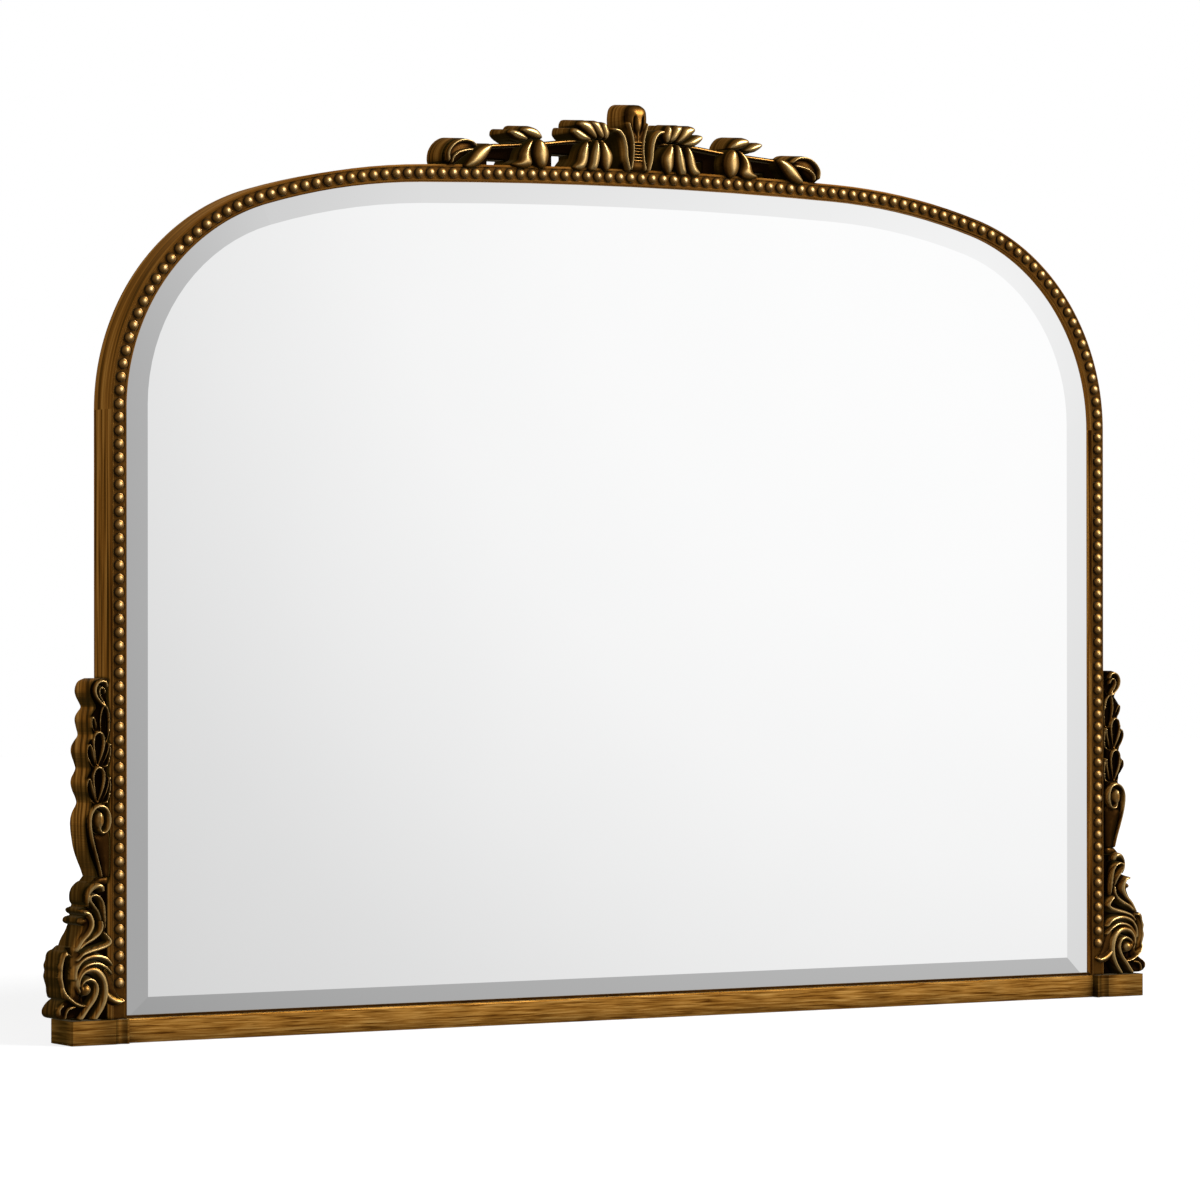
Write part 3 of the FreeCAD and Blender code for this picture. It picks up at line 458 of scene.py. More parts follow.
def husk_drop():
    """Upper half of a side ornament: a taper, a scroll round an egg, three tiers of husks and a loop."""
    edge = curve_points(at_side(DROP_EDGE, WAIST))
    outline = np.vstack([edge, at_side([(0, DROP_EDGE[-1][1]), (0, 0)], WAIST)])
    carving = Carving([outline], at_side, floor=-1, ground=GROUND_SHADE)
    carving.leaf(DROP_TAPER, edge=-1, crown=2.2)
    carving.hollow(DROP_GROOVE, level=-9, soft=2)
    carving.hollow(DROP_HOLLOW, level=-6)
    for husk in SIDE_HUSKS:
        carving.husk(husk, rim=3.6, bowl=-5, rim_width=1.6)
    for (x, z), size in HUSK_ROOTS:
        husk = [(x + a * size, z + b * size) for a, b in HUSK]
        carving.husk(husk, rim=5.6, bowl=-3.4, rim_width=1.76)
    carving.strand(DROP_RIDGE, (1.4, 1.8, 2.4, 3.2, 3.6, 3.2, 2.4), top=6.6, foot=-1, shine=0.5)
    carving.leaf(oval(*DROP_EGG), edge=-4, crown=7.6)
    carving.hollow(LOOP_HOLLOW, level=-5)
    carving.strand(LOOP_OUTER, (2.6, 3, 3.2, 3.2, 3, 2.6, 2), top=5.4, foot=-1, shine=0.6)
    carving.strand(LOOP_INNER, (1.6, 2.2, 2.4, 2.2, 1.8), top=4.2, foot=-3, shine=0.6)
    return [carving.shell(SIDE_BACK, wall=SIDE_WALL_TONE)]


BRACKET_EDGE = [
    (37.5, 0), (38.5, 18), (40, 40), (40, 58), (38, 69), (34.8, 76.5), (31, 82.5), (28, 90), (26, 99),
    (24.5, 107), (20.6, 119), (16.5, 129)]
FLAME_LEAF = [
    (33, 19.5), (44, 19.5), (48.6, 20.5), (50.4, 26), (50.8, 31), (52.6, 37), (53.4, 41), (52.4, 46),
    (53.2, 51), (51.4, 56), (50.8, 60), (49, 63.4), (45, 65.4), (36, 66)]
FLAME_RECESS = [
    (40.4, 24), (47, 25), (48, 32), (49.6, 40), (49.4, 50), (47.6, 58), (44.6, 64), (40, 70), (38.4, 60),
    (39.6, 42)]
KNOB = [
    (28, 5), (38, 1.4), (46, 1), (51, 1.6), (54.4, 4), (55, 8.4), (53, 12.4), (49.4, 16.4), (44, 20),
    (36, 22.6), (29, 22)]
BUDS = [
    [(19, 88.5), (27, 88.6), (32.4, 90.6), (33.4, 93.4), (30.5, 96.4), (19, 97.4)],
    [(19, 95.5), (26.5, 98.4), (30.2, 101.4), (29, 104.4), (19, 106)],
]
BUD_CROWNS = (2, -0.5)
NECK = [(3, 134.4), (12.6, 134.4), (16.4, 131.8), (19, 128.4), (14, 126.4), (4, 127)]
NECK_BACK = -14.0
SHOULDER_ROLL = [
    (7, 130.5), (16.5, 129.4), (21.4, 126.4), (25, 122), (26.6, 116), (25.6, 109.5), (20, 105.5),
    (11, 110.5), (6, 122)]
LEAF_TIP = [
    (-12.5, 18), (-8, 21.4), (-4.2, 27.5), (-1, 36.5), (3, 45), (9.5, 48), (8.5, 38), (7.5, 27), (8, 19),
    (2.4, 14.2), (-3.5, 12.6), (-8.6, 14)]
LEAF_TIP_LIP = [(-11.4, 17.6), (-8, 16.4), (-3, 17.4), (2.4, 20.4), (7, 25)]
VOLUTE_BALL = (28, 29, 6.4, 6.2)
BODY_SWELL = [(27, 95), (31, 86), (36, 77), (39, 68), (39.4, 56), (36, 60), (31, 71), (25, 81), (22.5, 90)]

# Strands of the scroll bracket: route, widths from start to end, height and shine
BRACKET_STRANDS = [
    ([(36.6, 68), (36.4, 57), (36, 47), (35, 37), (33.6, 28)], (8, 8.4, 8, 6), 2.6, 0),
    ([(18.5, 1.5), (11.5, 12), (8, 22), (8, 32), (11, 40.5), (16.5, 46.2), (23, 47.8), (30.5, 45.4),
      (35, 39), (35.6, 32)], (4.6, 5.6, 6.2, 7, 8.2, 7.6, 5, 3), 7.4, 0.25),
    ([(33, 2), (26, 11.5), (19.6, 19.5), (16.4, 28), (18, 35), (23, 38.6), (28.5, 37.6), (32.8, 33.4),
      (31.6, 28)], (5.4, 5.4, 5, 4.6, 4.4, 3.2), 6.8, 0.25),
    ([(27, 13.6), (33, 14.4), (40, 18), (46, 23.6), (49.6, 30)], (2.4, 3.4, 3.6, 3.2, 2.4),
     (3, 4.4, 4.8, 4.4, 2), 0.7),
    ([(1, 43), (6, 48.4), (14.5, 53), (23.5, 52.8), (31, 49.4), (36, 42.4), (36.8, 34), (34.5, 27)],
     (2.4, 4.6, 5.4, 5.4, 4.6, 3), 6.6, 0.25),
    ([(1, 51.4), (7, 57.4), (16.5, 60.2), (25.5, 59.4), (33, 55.6), (38, 48), (39.4, 39)],
     (2.6, 5.4, 6.6, 6, 4.6, 3), 7.2, 0.25),
    ([(9.6, 82.4), (5.4, 78), (2.8, 73.4), (6.2, 70), (14.5, 67.2), (24, 64.8), (31.5, 62), (36.8, 57)],
     (2.2, 3.8, 5, 5.4, 5.6, 5.4, 4.8, 3.6), 7, 0.25),
    ([(11, 92.5), (11.2, 86.5), (14.6, 81), (21, 76.4), (28.5, 72.6), (34.5, 67.6)],
     (2, 3.2, 4.8, 5.2, 4.6, 3.4), 6.4, 0.3),
    ([(31, 101.4), (25.4, 100.4), (22.2, 95), (21.8, 88.5), (25.6, 81.4), (32, 74.6), (37.4, 66.5)],
     (4, 5.8, 6.4, 6.8, 6.4, 4.6), 7, 0.25),
    ([(11.6, 94), (14.6, 101.2), (19, 107.2), (22.8, 112.4), (22.4, 116), (19, 117.6), (14.4, 116.4),
      (10.6, 112), (8.8, 106), (8, 99), (7.4, 90), (7.6, 84)],
     (1.8, 2.6, 3, 3, 2.8, 2.6, 2.2, 1.4), 5.6, 0.7),
    ([(10.2, 121.6), (11.4, 125), (15.4, 126.4), (20, 124.2), (23.6, 119.4), (24.8, 113.4), (23.8, 107)],
     (3.6, 6, 6, 4.6, 3.4, 2.6, 2), (6.4, 7.6, 7.2, 5.4, 4.2, 3.4, 2.8), 0.25),
    ([(53, 6), (53, 11), (49.4, 14.4)], (1.6, 2.2, 1.6), 1.6, 0.7),
    ([(47.6, 2.6), (46.6, 8.4), (43.4, 11.8), (37.4, 13)], (1.8, 2.6, 2.6, 1.8), 3, 0.7),
    ([(46.6, 60.6), (43.6, 62.6), (40.6, 60.4)], (1.6, 2.4, 1.4), 1, 0.7),
]


def scroll_bracket():
    """Lower half of a side ornament: acanthus strands over a volute, a flame leaf, a plug at the waist and a
    leaf tip on the stile."""
    edge = curve_points(at_side(BRACKET_EDGE))
    outline = np.vstack([edge, at_side([(DROP_EDGE[0][0], WAIST), (0, WAIST), (0, 0)])])
    lobes = [closed_curve(at_side(lobe)) for lobe in [FLAME_LEAF, KNOB, SHOULDER_ROLL] + BUDS]
    carving = Carving([outline] + lobes, at_side, floor=-8, ground=GROUND_SHADE)
    carving.leaf(BODY_SWELL, edge=-3, crown=2.4)
    carving.leaf(FLAME_LEAF, edge=-1.6, crown=0.6, width=2.5)
    carving.hollow(FLAME_RECESS, level=-15, soft=1.2)
    carving.leaf(KNOB, edge=-3, crown=-1, width=4)
    for bud, crown in zip(BUDS, BUD_CROWNS):
        carving.leaf(bud, edge=-4, crown=crown)
    carving.leaf(oval(*VOLUTE_BALL), edge=-3, crown=7.8)
    for route, widths, top, shine in BRACKET_STRANDS:
        carving.strand(route, widths, top, foot=-5, shine=shine)
    neck = Carving([closed_curve(at_side(NECK))], at_side, floor=-4, ground=GROUND_SHADE)
    neck.leaf(NECK, edge=-4, crown=1)
    tip = Carving([closed_curve(at_side(LEAF_TIP))], at_side, floor=-1)
    tip.leaf(LEAF_TIP, edge=0.4, crown=2.6)
    tip.strand(LEAF_TIP_LIP, (3, 5, 6, 6, 4), top=6.2, foot=0.4, shine=0.6)
    return [carving.shell(SIDE_BACK, wall=BRACKET_WALL_TONE), neck.shell(NECK_BACK, wall=BRACKET_WALL_TONE),
            tip.shell(SEAT)]


# Crest, as (distance from the middle, height over the crown rail)

CARTOUCHE_HALF = [
    (10.5, -1.5), (9.6, 8), (7.6, 17), (7.8, 28), (9.6, 37), (12.2, 44), (12.6, 54), (11, 60.5), (6, 64)]
CARTOUCHE_TOP = 64.7
SCROLL_ARM = [
    (8, -1.5), (12.4, 10), (13.6, 22), (16.5, 32.5), (22.5, 39.5), (29, 40), (29, 36.6), (24, 34.5),
    (19.6, 29), (17.4, 21), (16.4, 10), (14.6, -1.5)]
ARM_LINE = [(11.4, -1), (14.4, 10), (15.5, 21.5), (18.1, 31), (23.2, 37), (28.6, 38.3)]
SHELL_BORDER = [(11, 45.5), (8.8, 38.5), (6.8, 31.5), (5.8, 24.5), (5.9, 15), (6.8, 7), (8.4, 0)]
SHELL_RIDGE = [(0, 27.5), (0, 38), (0, 50)]
SHELL_GROOVE = [(1.4, 32), (2, 39), (2.4, 46), (3.2, 51.5), (4.8, 53.4), (6.4, 51), (6.6, 45), (5.2, 38)]
RIB_FOOT = 8.6
RIB_PITCH = 3.0
RIB_COUNT = 7
RIB_HALF = 4.4
RIB_GAP = 0.9
CUSHION = [
    (0, 64), (6, 63.2), (10.6, 59.8), (12, 53.5), (11.8, 46), (8, 38), (0, 34), (-8, 38), (-11.8, 46),
    (-12, 53.5), (-10.6, 59.8), (-6, 63.2)]
UPPER_LEAVES = [
    [(34, 28), (38.5, 28.5), (41.5, 34), (42.5, 41), (40, 45.6), (36, 45.4), (32.5, 40.5), (30.8, 34.5)],
    [(38.5, 29), (44, 29.5), (49, 34), (53, 40), (54, 45), (50, 46.8), (44.5, 46), (40.5, 40.5), (38, 34)],
    [(46, 28.5), (52, 29), (59, 32.5), (66, 37.5), (69.2, 42), (66.5, 45.8), (60, 46.6), (54, 44.5),
     (49.5, 38.5)],
    [(53, 27), (60, 25), (67, 25.6), (73, 29), (76.8, 33.6), (75.5, 37.5), (70, 37.8), (63, 34.5),
     (57, 30.5)],
    [(109, 25.5), (116, 24.5), (125, 26.5), (131.5, 29.5), (134, 33), (131, 36.8), (124, 37.8), (116, 35.6),
     (110.5, 30.5)],
    [(126, 24), (133, 22.5), (141, 24), (146.5, 27.5), (148.6, 30.8), (145, 33.4), (138, 32.6), (131, 29)],
]
UPPER_CROWNS = (5.6, 6.6, 7.6, 8.6, 7, 8.4)
UPPER_DEPTH = 9.0
LOWER_CROWN = 8.0
LEAF_DROP = 2.0
LEAF_BACKS = [
    [(33.5, 27), (32.5, 37), (36, 43.6), (43, 45), (55, 45), (63, 44), (67.5, 39.5), (72.5, 36), (73, 31),
     (66, 26), (50, 26)],
    [(110.5, 24.5), (113, 31), (120, 35.6), (129, 35.4), (135, 32.4), (143, 31), (145.5, 28), (138, 22.5),
     (124, 22)],
]
LOWER_LEAVES = [
    [(40.5, 27), (33.5, 21), (28.8, 13), (29.5, 4), (34, -3), (38.5, -3), (42, 3), (43.2, 12), (43, 21)],
    [(46.5, 27), (43.8, 16), (45, 5), (48.5, -3), (53, -4), (57, -2.5), (56, 6), (54.4, 14), (51, 22.5)],
    [(58, 26), (56.8, 13), (59, 2), (64, -3.5), (70, -4), (74.5, -1), (69.8, 6), (67.4, 14), (64, 21)],
    [(112.5, 25.6), (105.5, 20.5), (102.6, 12), (103.5, 3), (107, -3), (112.5, -4), (117.5, -0.5),
     (120.5, 7), (120.4, 15), (118, 22)],
    [(119.5, 25.4), (122.6, 17), (123.4, 10), (121.4, 2), (124, -3), (131, -5), (138, -4), (144, -1),
     (137.4, 3.5), (134.8, 11), (130, 18.6)],
]
LANCE_LEAF = [(167, 17), (172, 6), (181, -3), (191, -7), (198.5, -5.5), (194, 3), (186, 12), (176, 17.4)]
END_BUD = [
    (183, 16), (190, 21.5), (203, 22.2), (213, 17), (219, 8), (218.5, -2), (210, -5), (198, 3), (188, 10)]
BUD_STRANDS = [
    ([(185, 15), (191, 19.4), (202, 20), (211, 15.6), (216.6, 8), (216.4, 0)], (2.4, 3.4, 3.6, 3), 7.6),
    ([(188, 11.6), (196, 10.6), (205, 8), (211, 3), (212, -2)], (1.8, 2.6, 2.6, 2), 6.8),
]
STEM = [(34, 27), (70, 25.5), (104, 21.5), (140, 18.5), (185, 15)]
STEM_HALF = 2.0
STEM_WIDTH = 4.8
WEB_HEIGHT = -16.0
WEB_START = 20.0
WEB_END = 178.0
WEB_FEET = (-1, -3)
WEB_GAPS = ((69, 88, 12.5), (142.5, 162, 4))
GAP_FOOT = -9.0

# Painted light on a crest leaf: a highlight on its crown and shade along its edge
LEAF_SHINE = 1.2
LEAF_SHADE = 0.75


def at_crest(points):
    return [(x, CROWN_TOP + z) for x, z in points]


def both_halves(half, top):
    return half + [(0, top)] + flipped(half[::-1])


def flipped(points):
    return [(-x, z) for x, z in points]


def seated_back(carving):
    """Back of a crest piece: far back over the rail, and on the rail's face below its outer edge."""
    rail_edge = CROWN_TOP - carving.x ** 2 / (2 * CROWN_RADIUS)
    return np.where(carving.z > rail_edge + SEAT, CREST_BACK, SEAT)


def cartouche():
    """Fluted shell over a ladder of ribs, between two C-scrolls."""
    body = both_halves(CARTOUCHE_HALF, CARTOUCHE_TOP)
    carving = Carving([closed_curve(at_crest(body))], at_crest, floor=-1, lift=CREST_LIFT)
    carving.leaf(body, edge=-2, crown=4.2, width=6)
    carving.leaf(CUSHION, edge=-2, crown=8, width=11)
    for groove in (SHELL_GROOVE, flipped(SHELL_GROOVE)):
        carving.hollow(groove, level=1.6, soft=2.4)
    carving.strand(SHELL_RIDGE, (1.8, 2.4, 3.2), top=6, foot=1.6, shine=0.3)
    for number in range(RIB_COUNT - 1):
        level = RIB_FOOT + RIB_PITCH * (number + 0.5)
        carving.hollow(oval(0, level, RIB_HALF, RIB_GAP), level=-0.5, soft=0.6)
    for number in range(RIB_COUNT):
        level = RIB_FOOT + RIB_PITCH * number
        rib = [(-RIB_HALF, level), (0, level), (RIB_HALF, level)]
        carving.strand(rib, 1.9, top=5.8, foot=3, shine=0.4)
    for border in (SHELL_BORDER, flipped(SHELL_BORDER)):
        carving.strand(border, (2.2, 3, 2.8, 2.4, 2.4, 3), top=7.4, foot=1, shine=0.6)
    # Painted highlights along the ridge, ribs, borders and arm lines by their shine, and painted shade on
    # the walls, darkest on the arms
    shells = [carving.shell(seated_back(carving), keen=False, wall=-0.1)]
    for outline, line in ((SCROLL_ARM, ARM_LINE), (flipped(SCROLL_ARM), flipped(ARM_LINE))):
        arm = Carving([closed_curve(at_crest(outline))], at_crest, floor=-1, lift=CREST_LIFT)
        arm.strand(line, (3.4, 4.6, 5, 5.2, 5, 3.6), top=9.4, foot=0, shine=0.3)
        shells.append(arm.shell(seated_back(arm), keen=False, wall=-0.85))
    return shells


def crest_leaf(points, edge, crown, strands=(), wall=-0.3):
    outline = closed_curve(at_crest(points))
    carving = Carving([outline], at_crest, floor=edge - LEAF_DROP, step=LEAF_STEP, lift=CREST_LIFT)
    carving.leaf(points, edge, crown)
    # Painted highlight on the leaf's crown and painted shade along its edge
    carving.tone += LEAF_SHINE * np.clip((carving.height - edge) / (crown - edge), 0, 1) ** 2 - LEAF_SHADE
    for route, widths, top in strands:
        carving.strand(route, widths, top, foot=edge)
    return carving.shell(seated_back(carving), keen=False, wall=wall)


def crest_spray():
    """Leaves above and below a thin stem, a lance leaf and a rolled bud at the end, over a web that painted
    shade makes dark. The walls get painted shade and the stem a painted highlight.
    """
    shells = [crest_leaf(points, edge=-8, crown=-2, wall=-0.7) for points in LEAF_BACKS]
    for points, crown in zip(UPPER_LEAVES, UPPER_CROWNS):
        shells.append(crest_leaf(points, edge=crown - UPPER_DEPTH, crown=crown, wall=-0.5))
    for index, points in enumerate(LOWER_LEAVES):
        shells.append(crest_leaf(points, edge=0.6, crown=LOWER_CROWN + index % 2, wall=-0.75))
    shells.append(crest_leaf(LANCE_LEAF, edge=0.6, crown=8.6, wall=-0.75))
    shells.append(crest_leaf(END_BUD, edge=-3, crown=1.6, strands=BUD_STRANDS))
    line = curve_points(STEM)
    stem = np.vstack([line + (0, STEM_HALF), line[::-1] - (0, STEM_HALF)])
    carving = Carving([at_crest(stem)], at_crest, floor=-7, step=LEAF_STEP)
    # Painted highlight along the stem's top
    carving.strand(STEM, STEM_WIDTH, top=-4, foot=-7, shine=1.3)
    shells.append(carving.shell(CREST_BACK, keen=False, wall=-0.9))
    under = [(x, z) for x, z in line if WEB_START < x < WEB_END]
    web = [(WEB_START, WEB_FEET[0]), (WEB_START, under[0][1]), *under, (WEB_END, under[-1][1]),
           (WEB_END, WEB_FEET[1])]
    gaps = [at_crest([(a, GAP_FOOT), (b, GAP_FOOT), (b, top), (a, top)]) for a, b, top in WEB_GAPS]
    # The web's depth and its walls give it deep painted shade
    carving = Carving([at_crest(web)], at_crest, floor=WEB_HEIGHT, step=LEAF_STEP, gaps=gaps)
    shells.append(carving.shell(CREST_BACK, wall=-0.9))
    return shells


# Materials

def rgba(value):
    return (*value, 1) if isinstance(value, tuple) else value


class Nodes:
    """Short ways to add nodes to a tree."""

    def __init__(self, tree):
        self.tree = tree

    def fill(self, node, inputs):
        """Gives some inputs of a node a value or a link each."""
        for key, value in inputs.items():
            if isinstance(value, bpy.types.NodeSocket):
                self.tree.links.new(value, node.inputs[key])
            else:
                node.inputs[key].default_value = value
        return node

    def node(self, kind, inputs=None, **settings):
        made = self.tree.nodes.new(kind)
        for key, value in settings.items():
            setattr(made, key, value)
        return self.fill(made, inputs or {})

    def math(self, operation, first, second=0.0):
        return self.node("ShaderNodeMath", {0: first, 1: second}, operation=operation).outputs[0]

    def weigh(self, first, second, share):
        """Mean of two values, with a share for the first one."""
        part = self.math("MULTIPLY", first, share)
        return self.math("ADD", part, self.math("MULTIPLY", second, 1 - share))

    def place(self, scale=(1, 1, 1)):
        """Coordinates in metres times a scale for each axis."""
        metres = self.node("ShaderNodeTexCoord").outputs["Object"]
        return self.node("ShaderNodeMapping", {"Vector": metres, "Scale": scale}).outputs["Vector"]

    def split(self, vector):
        return self.node("ShaderNodeSeparateXYZ", {0: vector}).outputs

    def noise_at(self, place, detail, roughness, distortion=0.0, **settings):
        inputs = {"Vector": place, "Scale": 1.0, "Detail": detail, "Roughness": roughness,
                  "Distortion": distortion}
        return self.node("ShaderNodeTexNoise", inputs, **settings).outputs["Fac"]

    def noise(self, scale, detail=3.0, roughness=0.55, distortion=0.0):
        return self.noise_at(self.place(scale), detail, roughness, distortion)

    def ramp(self, value, stops):
        made = self.node("ShaderNodeValToRGB", {"Fac": value})
        line = made.color_ramp.elements
        while len(line) < len(stops):
            line.new(0.5)
        for element, (place, colour) in zip(line, stops):
            element.position = place
            element.color = rgba(colour)
        return made.outputs["Color"]

    def mix(self, share, first, second, blend="MIX"):
        inputs = {"Factor": share, 6: rgba(first), 7: rgba(second)}
        return self.node("ShaderNodeMix", inputs, data_type="RGBA", blend_type=blend).outputs[2]

    def spread(self, value, low, high, to_low=0.0, to_high=1.0):
        """A value carried from one range to another and held inside it."""
        inputs = {"Value": value, "From Min": low, "From Max": high, "To Min": to_low, "To Max": to_high}
        return self.node("ShaderNodeMapRange", inputs, clamp=True).outputs["Result"]

    def seen(self):
        """One for what is seen straight or through glass, and nought for the rest."""
        path = self.node("ShaderNodeLightPath").outputs
        return self.math("MAXIMUM", path["Is Camera Ray"], path["Is Transmission Ray"])


class Surface(Nodes):
    """One material with its shader."""

    def __init__(self, name, roughness, metallic=0.0):
        self.material = bpy.data.materials.new(name)
        self.material.use_nodes = True
        super().__init__(self.material.node_tree)
        self.shader = self.tree.nodes["Principled BSDF"]
        self.fill(self.shader, {"Roughness": roughness, "Metallic": metallic})

    def normal_tilt(self, axis):
        """The surface normal's part along an axis, from -1 to 1."""
        return self.split(self.node("ShaderNodeNewGeometry").outputs["Normal"])[axis]

    def normal_part(self, axis):
        """Size of the surface normal's part along an axis, from 0 to 1."""
        return self.math("ABSOLUTE", self.normal_tilt(axis))

    def openness(self, distance):
        """Openness of the surface, from 0 in a crevice to 1 in the open."""
        return self.node("ShaderNodeAmbientOcclusion", {"Distance": distance}, samples=8).outputs["AO"]

    def colour(self, value):
        self.fill(self.shader, {"Base Color": rgba(value)})

    def rough(self, value):
        self.fill(self.shader, {"Roughness": value})

    def bump(self, height, strength, distance):
        made = self.node("ShaderNodeBump", {"Strength": strength, "Distance": distance, "Height": height})
        self.fill(self.shader, {"Normal": made.outputs["Normal"]})


# Colours of the gilding, and ramps of them by painted light, streak, mottle or height; the ramp by height
# paints a highlight on the beads' tops and shade at their foot
UMBER = (0.005, 0.0016, 0.0003)
DARK_BRONZE = (0.045, 0.017, 0.003)
BRONZE = (0.185, 0.078, 0.014)
GOLD = (0.43, 0.20, 0.043)
PALE_GOLD = (0.80, 0.52, 0.20)
GOLD_BY_PAINTED_LIGHT = [(0.22, UMBER), (0.44, DARK_BRONZE), (0.65, BRONZE), (0.87, GOLD), (1.0, PALE_GOLD)]
WALL_STREAKS = [(0.37, (0.07, 0.019, 0.0018)), (0.45, (0.36, 0.13, 0.017)), (0.53, (0.54, 0.215, 0.032)),
                (0.63, (0.82, 0.40, 0.085))]
BASE_STREAKS = [(0.36, (0.12, 0.036, 0.003)), (0.44, (0.37, 0.152, 0.02)), (0.53, (0.58, 0.268, 0.048)),
                (0.64, (0.82, 0.44, 0.11))]
DARK_FACE_MOTTLE = [(0.3, (0.07, 0.026, 0.004)), (0.7, (0.13, 0.055, 0.009))]
SLIP_BRONZE = [(0.3, (0.03, 0.01, 0.001)), (0.7, (0.085, 0.032, 0.005))]
BEAD_GOLD = [(0.0, UMBER), (0.30, (0.03, 0.011, 0.002)), (0.55, (0.25, 0.11, 0.02)),
             (0.85, (0.44, 0.225, 0.056)), (1.0, (0.68, 0.46, 0.21))]

# How the gilding takes light
GILT_TINT = (1.0, 0.80, 0.50)
GILT_SPECULAR = 0.3
GILT_ROUGHNESS = 0.40
GILT_METALLIC = 0.97
LACQUER_ROUGHNESS = 0.32

# Fineness of the streaks along and across a wall, and lean of the upright grain in degrees
ALONG = 4.0
ACROSS = 190.0
GRAIN_ROUGHNESS = 0.6
GRAIN_LEAN = 31.3


class Gilding(Surface):
    """Antique gold leaf, darkened to umber by painted shade in the hollows."""

    def __init__(self, name, lacquer=0.0):
        super().__init__(name, GILT_ROUGHNESS, GILT_METALLIC)
        self.fill(self.shader, {"Specular Tint": rgba(GILT_TINT), "Specular IOR Level": GILT_SPECULAR,
                                "Coat Weight": lacquer, "Coat Roughness": LACQUER_ROUGHNESS})

    def gild(self, colour, reach, shut, wide):
        """Sets the colour, darkened to umber by painted shade where the surface is shut in."""
        self.colour(self.mix(self.spread(self.openness(reach), shut, wide), UMBER, colour))

    def streaks(self, upright):
        """Streaks that run along a wall, or upright ones in planes that lean outwards on both sides."""
        if not upright:
            return self.noise((ALONG, ACROSS, ALONG), roughness=GRAIN_ROUGHNESS)
        place = self.split(self.place())
        lean = math.radians(GRAIN_LEAN)
        out = self.math("MULTIPLY", self.math("ABSOLUTE", place["X"]), math.cos(lean))
        across = self.math("ADD", out, self.math("MULTIPLY", place["Y"], math.sin(lean)))
        wide = self.math("MULTIPLY", across, 2 * ACROSS)
        tall = self.math("MULTIPLY", place["Z"], ALONG)
        plane = self.node("ShaderNodeCombineXYZ", {"X": wide, "Y": tall}).outputs["Vector"]
        return self.noise_at(plane, detail=3.0, roughness=GRAIN_ROUGHNESS, noise_dimensions="2D")


def carving_gold(name, upright, reach):
    """Gold on the carving: painted shade in the hollows, on flanks, walls and undersides, painted highlights
    on the ridges, and streaks on the walls.
    """
    s = Gilding(name)
    painted_relief_light = s.node("ShaderNodeAttribute", attribute_name="painted_relief_light").outputs["Fac"]
    mottle = s.noise((160, 160, 160), detail=4)
    level = s.math("ADD", painted_relief_light, s.spread(mottle, 0.25, 0.75, -0.05, 0.05))
    front = s.ramp(level, GOLD_BY_PAINTED_LIGHT)
    wall = s.ramp(s.streaks(upright), WALL_STREAKS)
    # Painted shade: walls are darkened towards umber where they face down and where their painted shade is
    # deep
    underside_shade = s.spread(s.normal_tilt("Z"), -0.55, 0.15, 0.12, 1.0)
    shade = s.math("MULTIPLY", s.spread(painted_relief_light, 0.0, 0.5), underside_shade)
    wall = s.mix(shade, UMBER, wall)
    facing = s.spread(s.normal_part("Y"), 0.12, 0.45)
    s.gild(s.mix(facing, wall, front), reach, shut=0.25, wide=0.80)
    s.rough(s.spread(level, 0.2, 0.9, 0.50, 0.36))
    s.bump(s.noise((520, 520, 520), detail=2), strength=0.10, distance=0.0005)
    return s.material


def member_gold(name, upright):
    """Gold on the frame's members: streaked along the arch, with a dark mottled face round the beads and
    painted shade close to them.
    """
    s = Gilding(name)
    streak = s.streaks(upright)
    wall = s.ramp(streak, WALL_STREAKS)
    mottle = s.noise((60, 60, 60), detail=4)
    face = s.ramp(mottle, DARK_FACE_MOTTLE)
    facing = s.spread(s.normal_part("Y"), 0.6, 0.98)
    s.gild(s.mix(facing, wall, face), reach=0.0035, shut=0.45, wide=0.92)
    s.rough(s.spread(streak, 0.3, 0.7, 0.38, 0.50))
    s.bump(streak, strength=0.10, distance=0.0004)
    return s.material


def base_gold(name, shade, patches):
    """Gold on the rail and the plinth blocks, with level wood-like streaks and upright patches of painted
    shade. Faces that look up and corners get painted shade, and a shade under one darkens the whole gold, as
    painted shade.
    """
    s = Gilding(name)
    streak = s.noise((22, 22, 560), detail=4, distortion=0.3)
    fine = s.noise((40, 40, 1500), detail=2)
    grain = s.weigh(streak, fine, share=0.72)
    # A shade under one paints a darker copy of the gold, as painted shade
    face = s.ramp(grain, [(place, tuple(v * shade for v in colour)) for place, colour in BASE_STREAKS])
    broad = s.noise((26, 26, 1), detail=1)
    face = s.mix(s.spread(broad, 0.36, 0.62, patches, 0.0), face, UMBER)
    # Painted shade: faces that look up are darkened towards dark bronze
    face = s.mix(s.spread(s.normal_tilt("Z"), 0.10, 0.60, 0.0, 0.85), face, DARK_BRONZE)
    s.gild(face, reach=0.026, shut=0.30, wide=0.80)
    s.rough(s.spread(grain, 0.3, 0.7, 0.48, 0.36))
    s.bump(grain, strength=0.14, distance=0.0005)
    return s.material


def slip_gold():
    """Dark bronze on the slip under the glass: a line of painted shade between the glass and the rail."""
    s = Gilding("dark_bronze_slip")
    mottle = s.noise((30, 120, 120), detail=3)
    s.colour(s.ramp(mottle, SLIP_BRONZE))
    return s.material


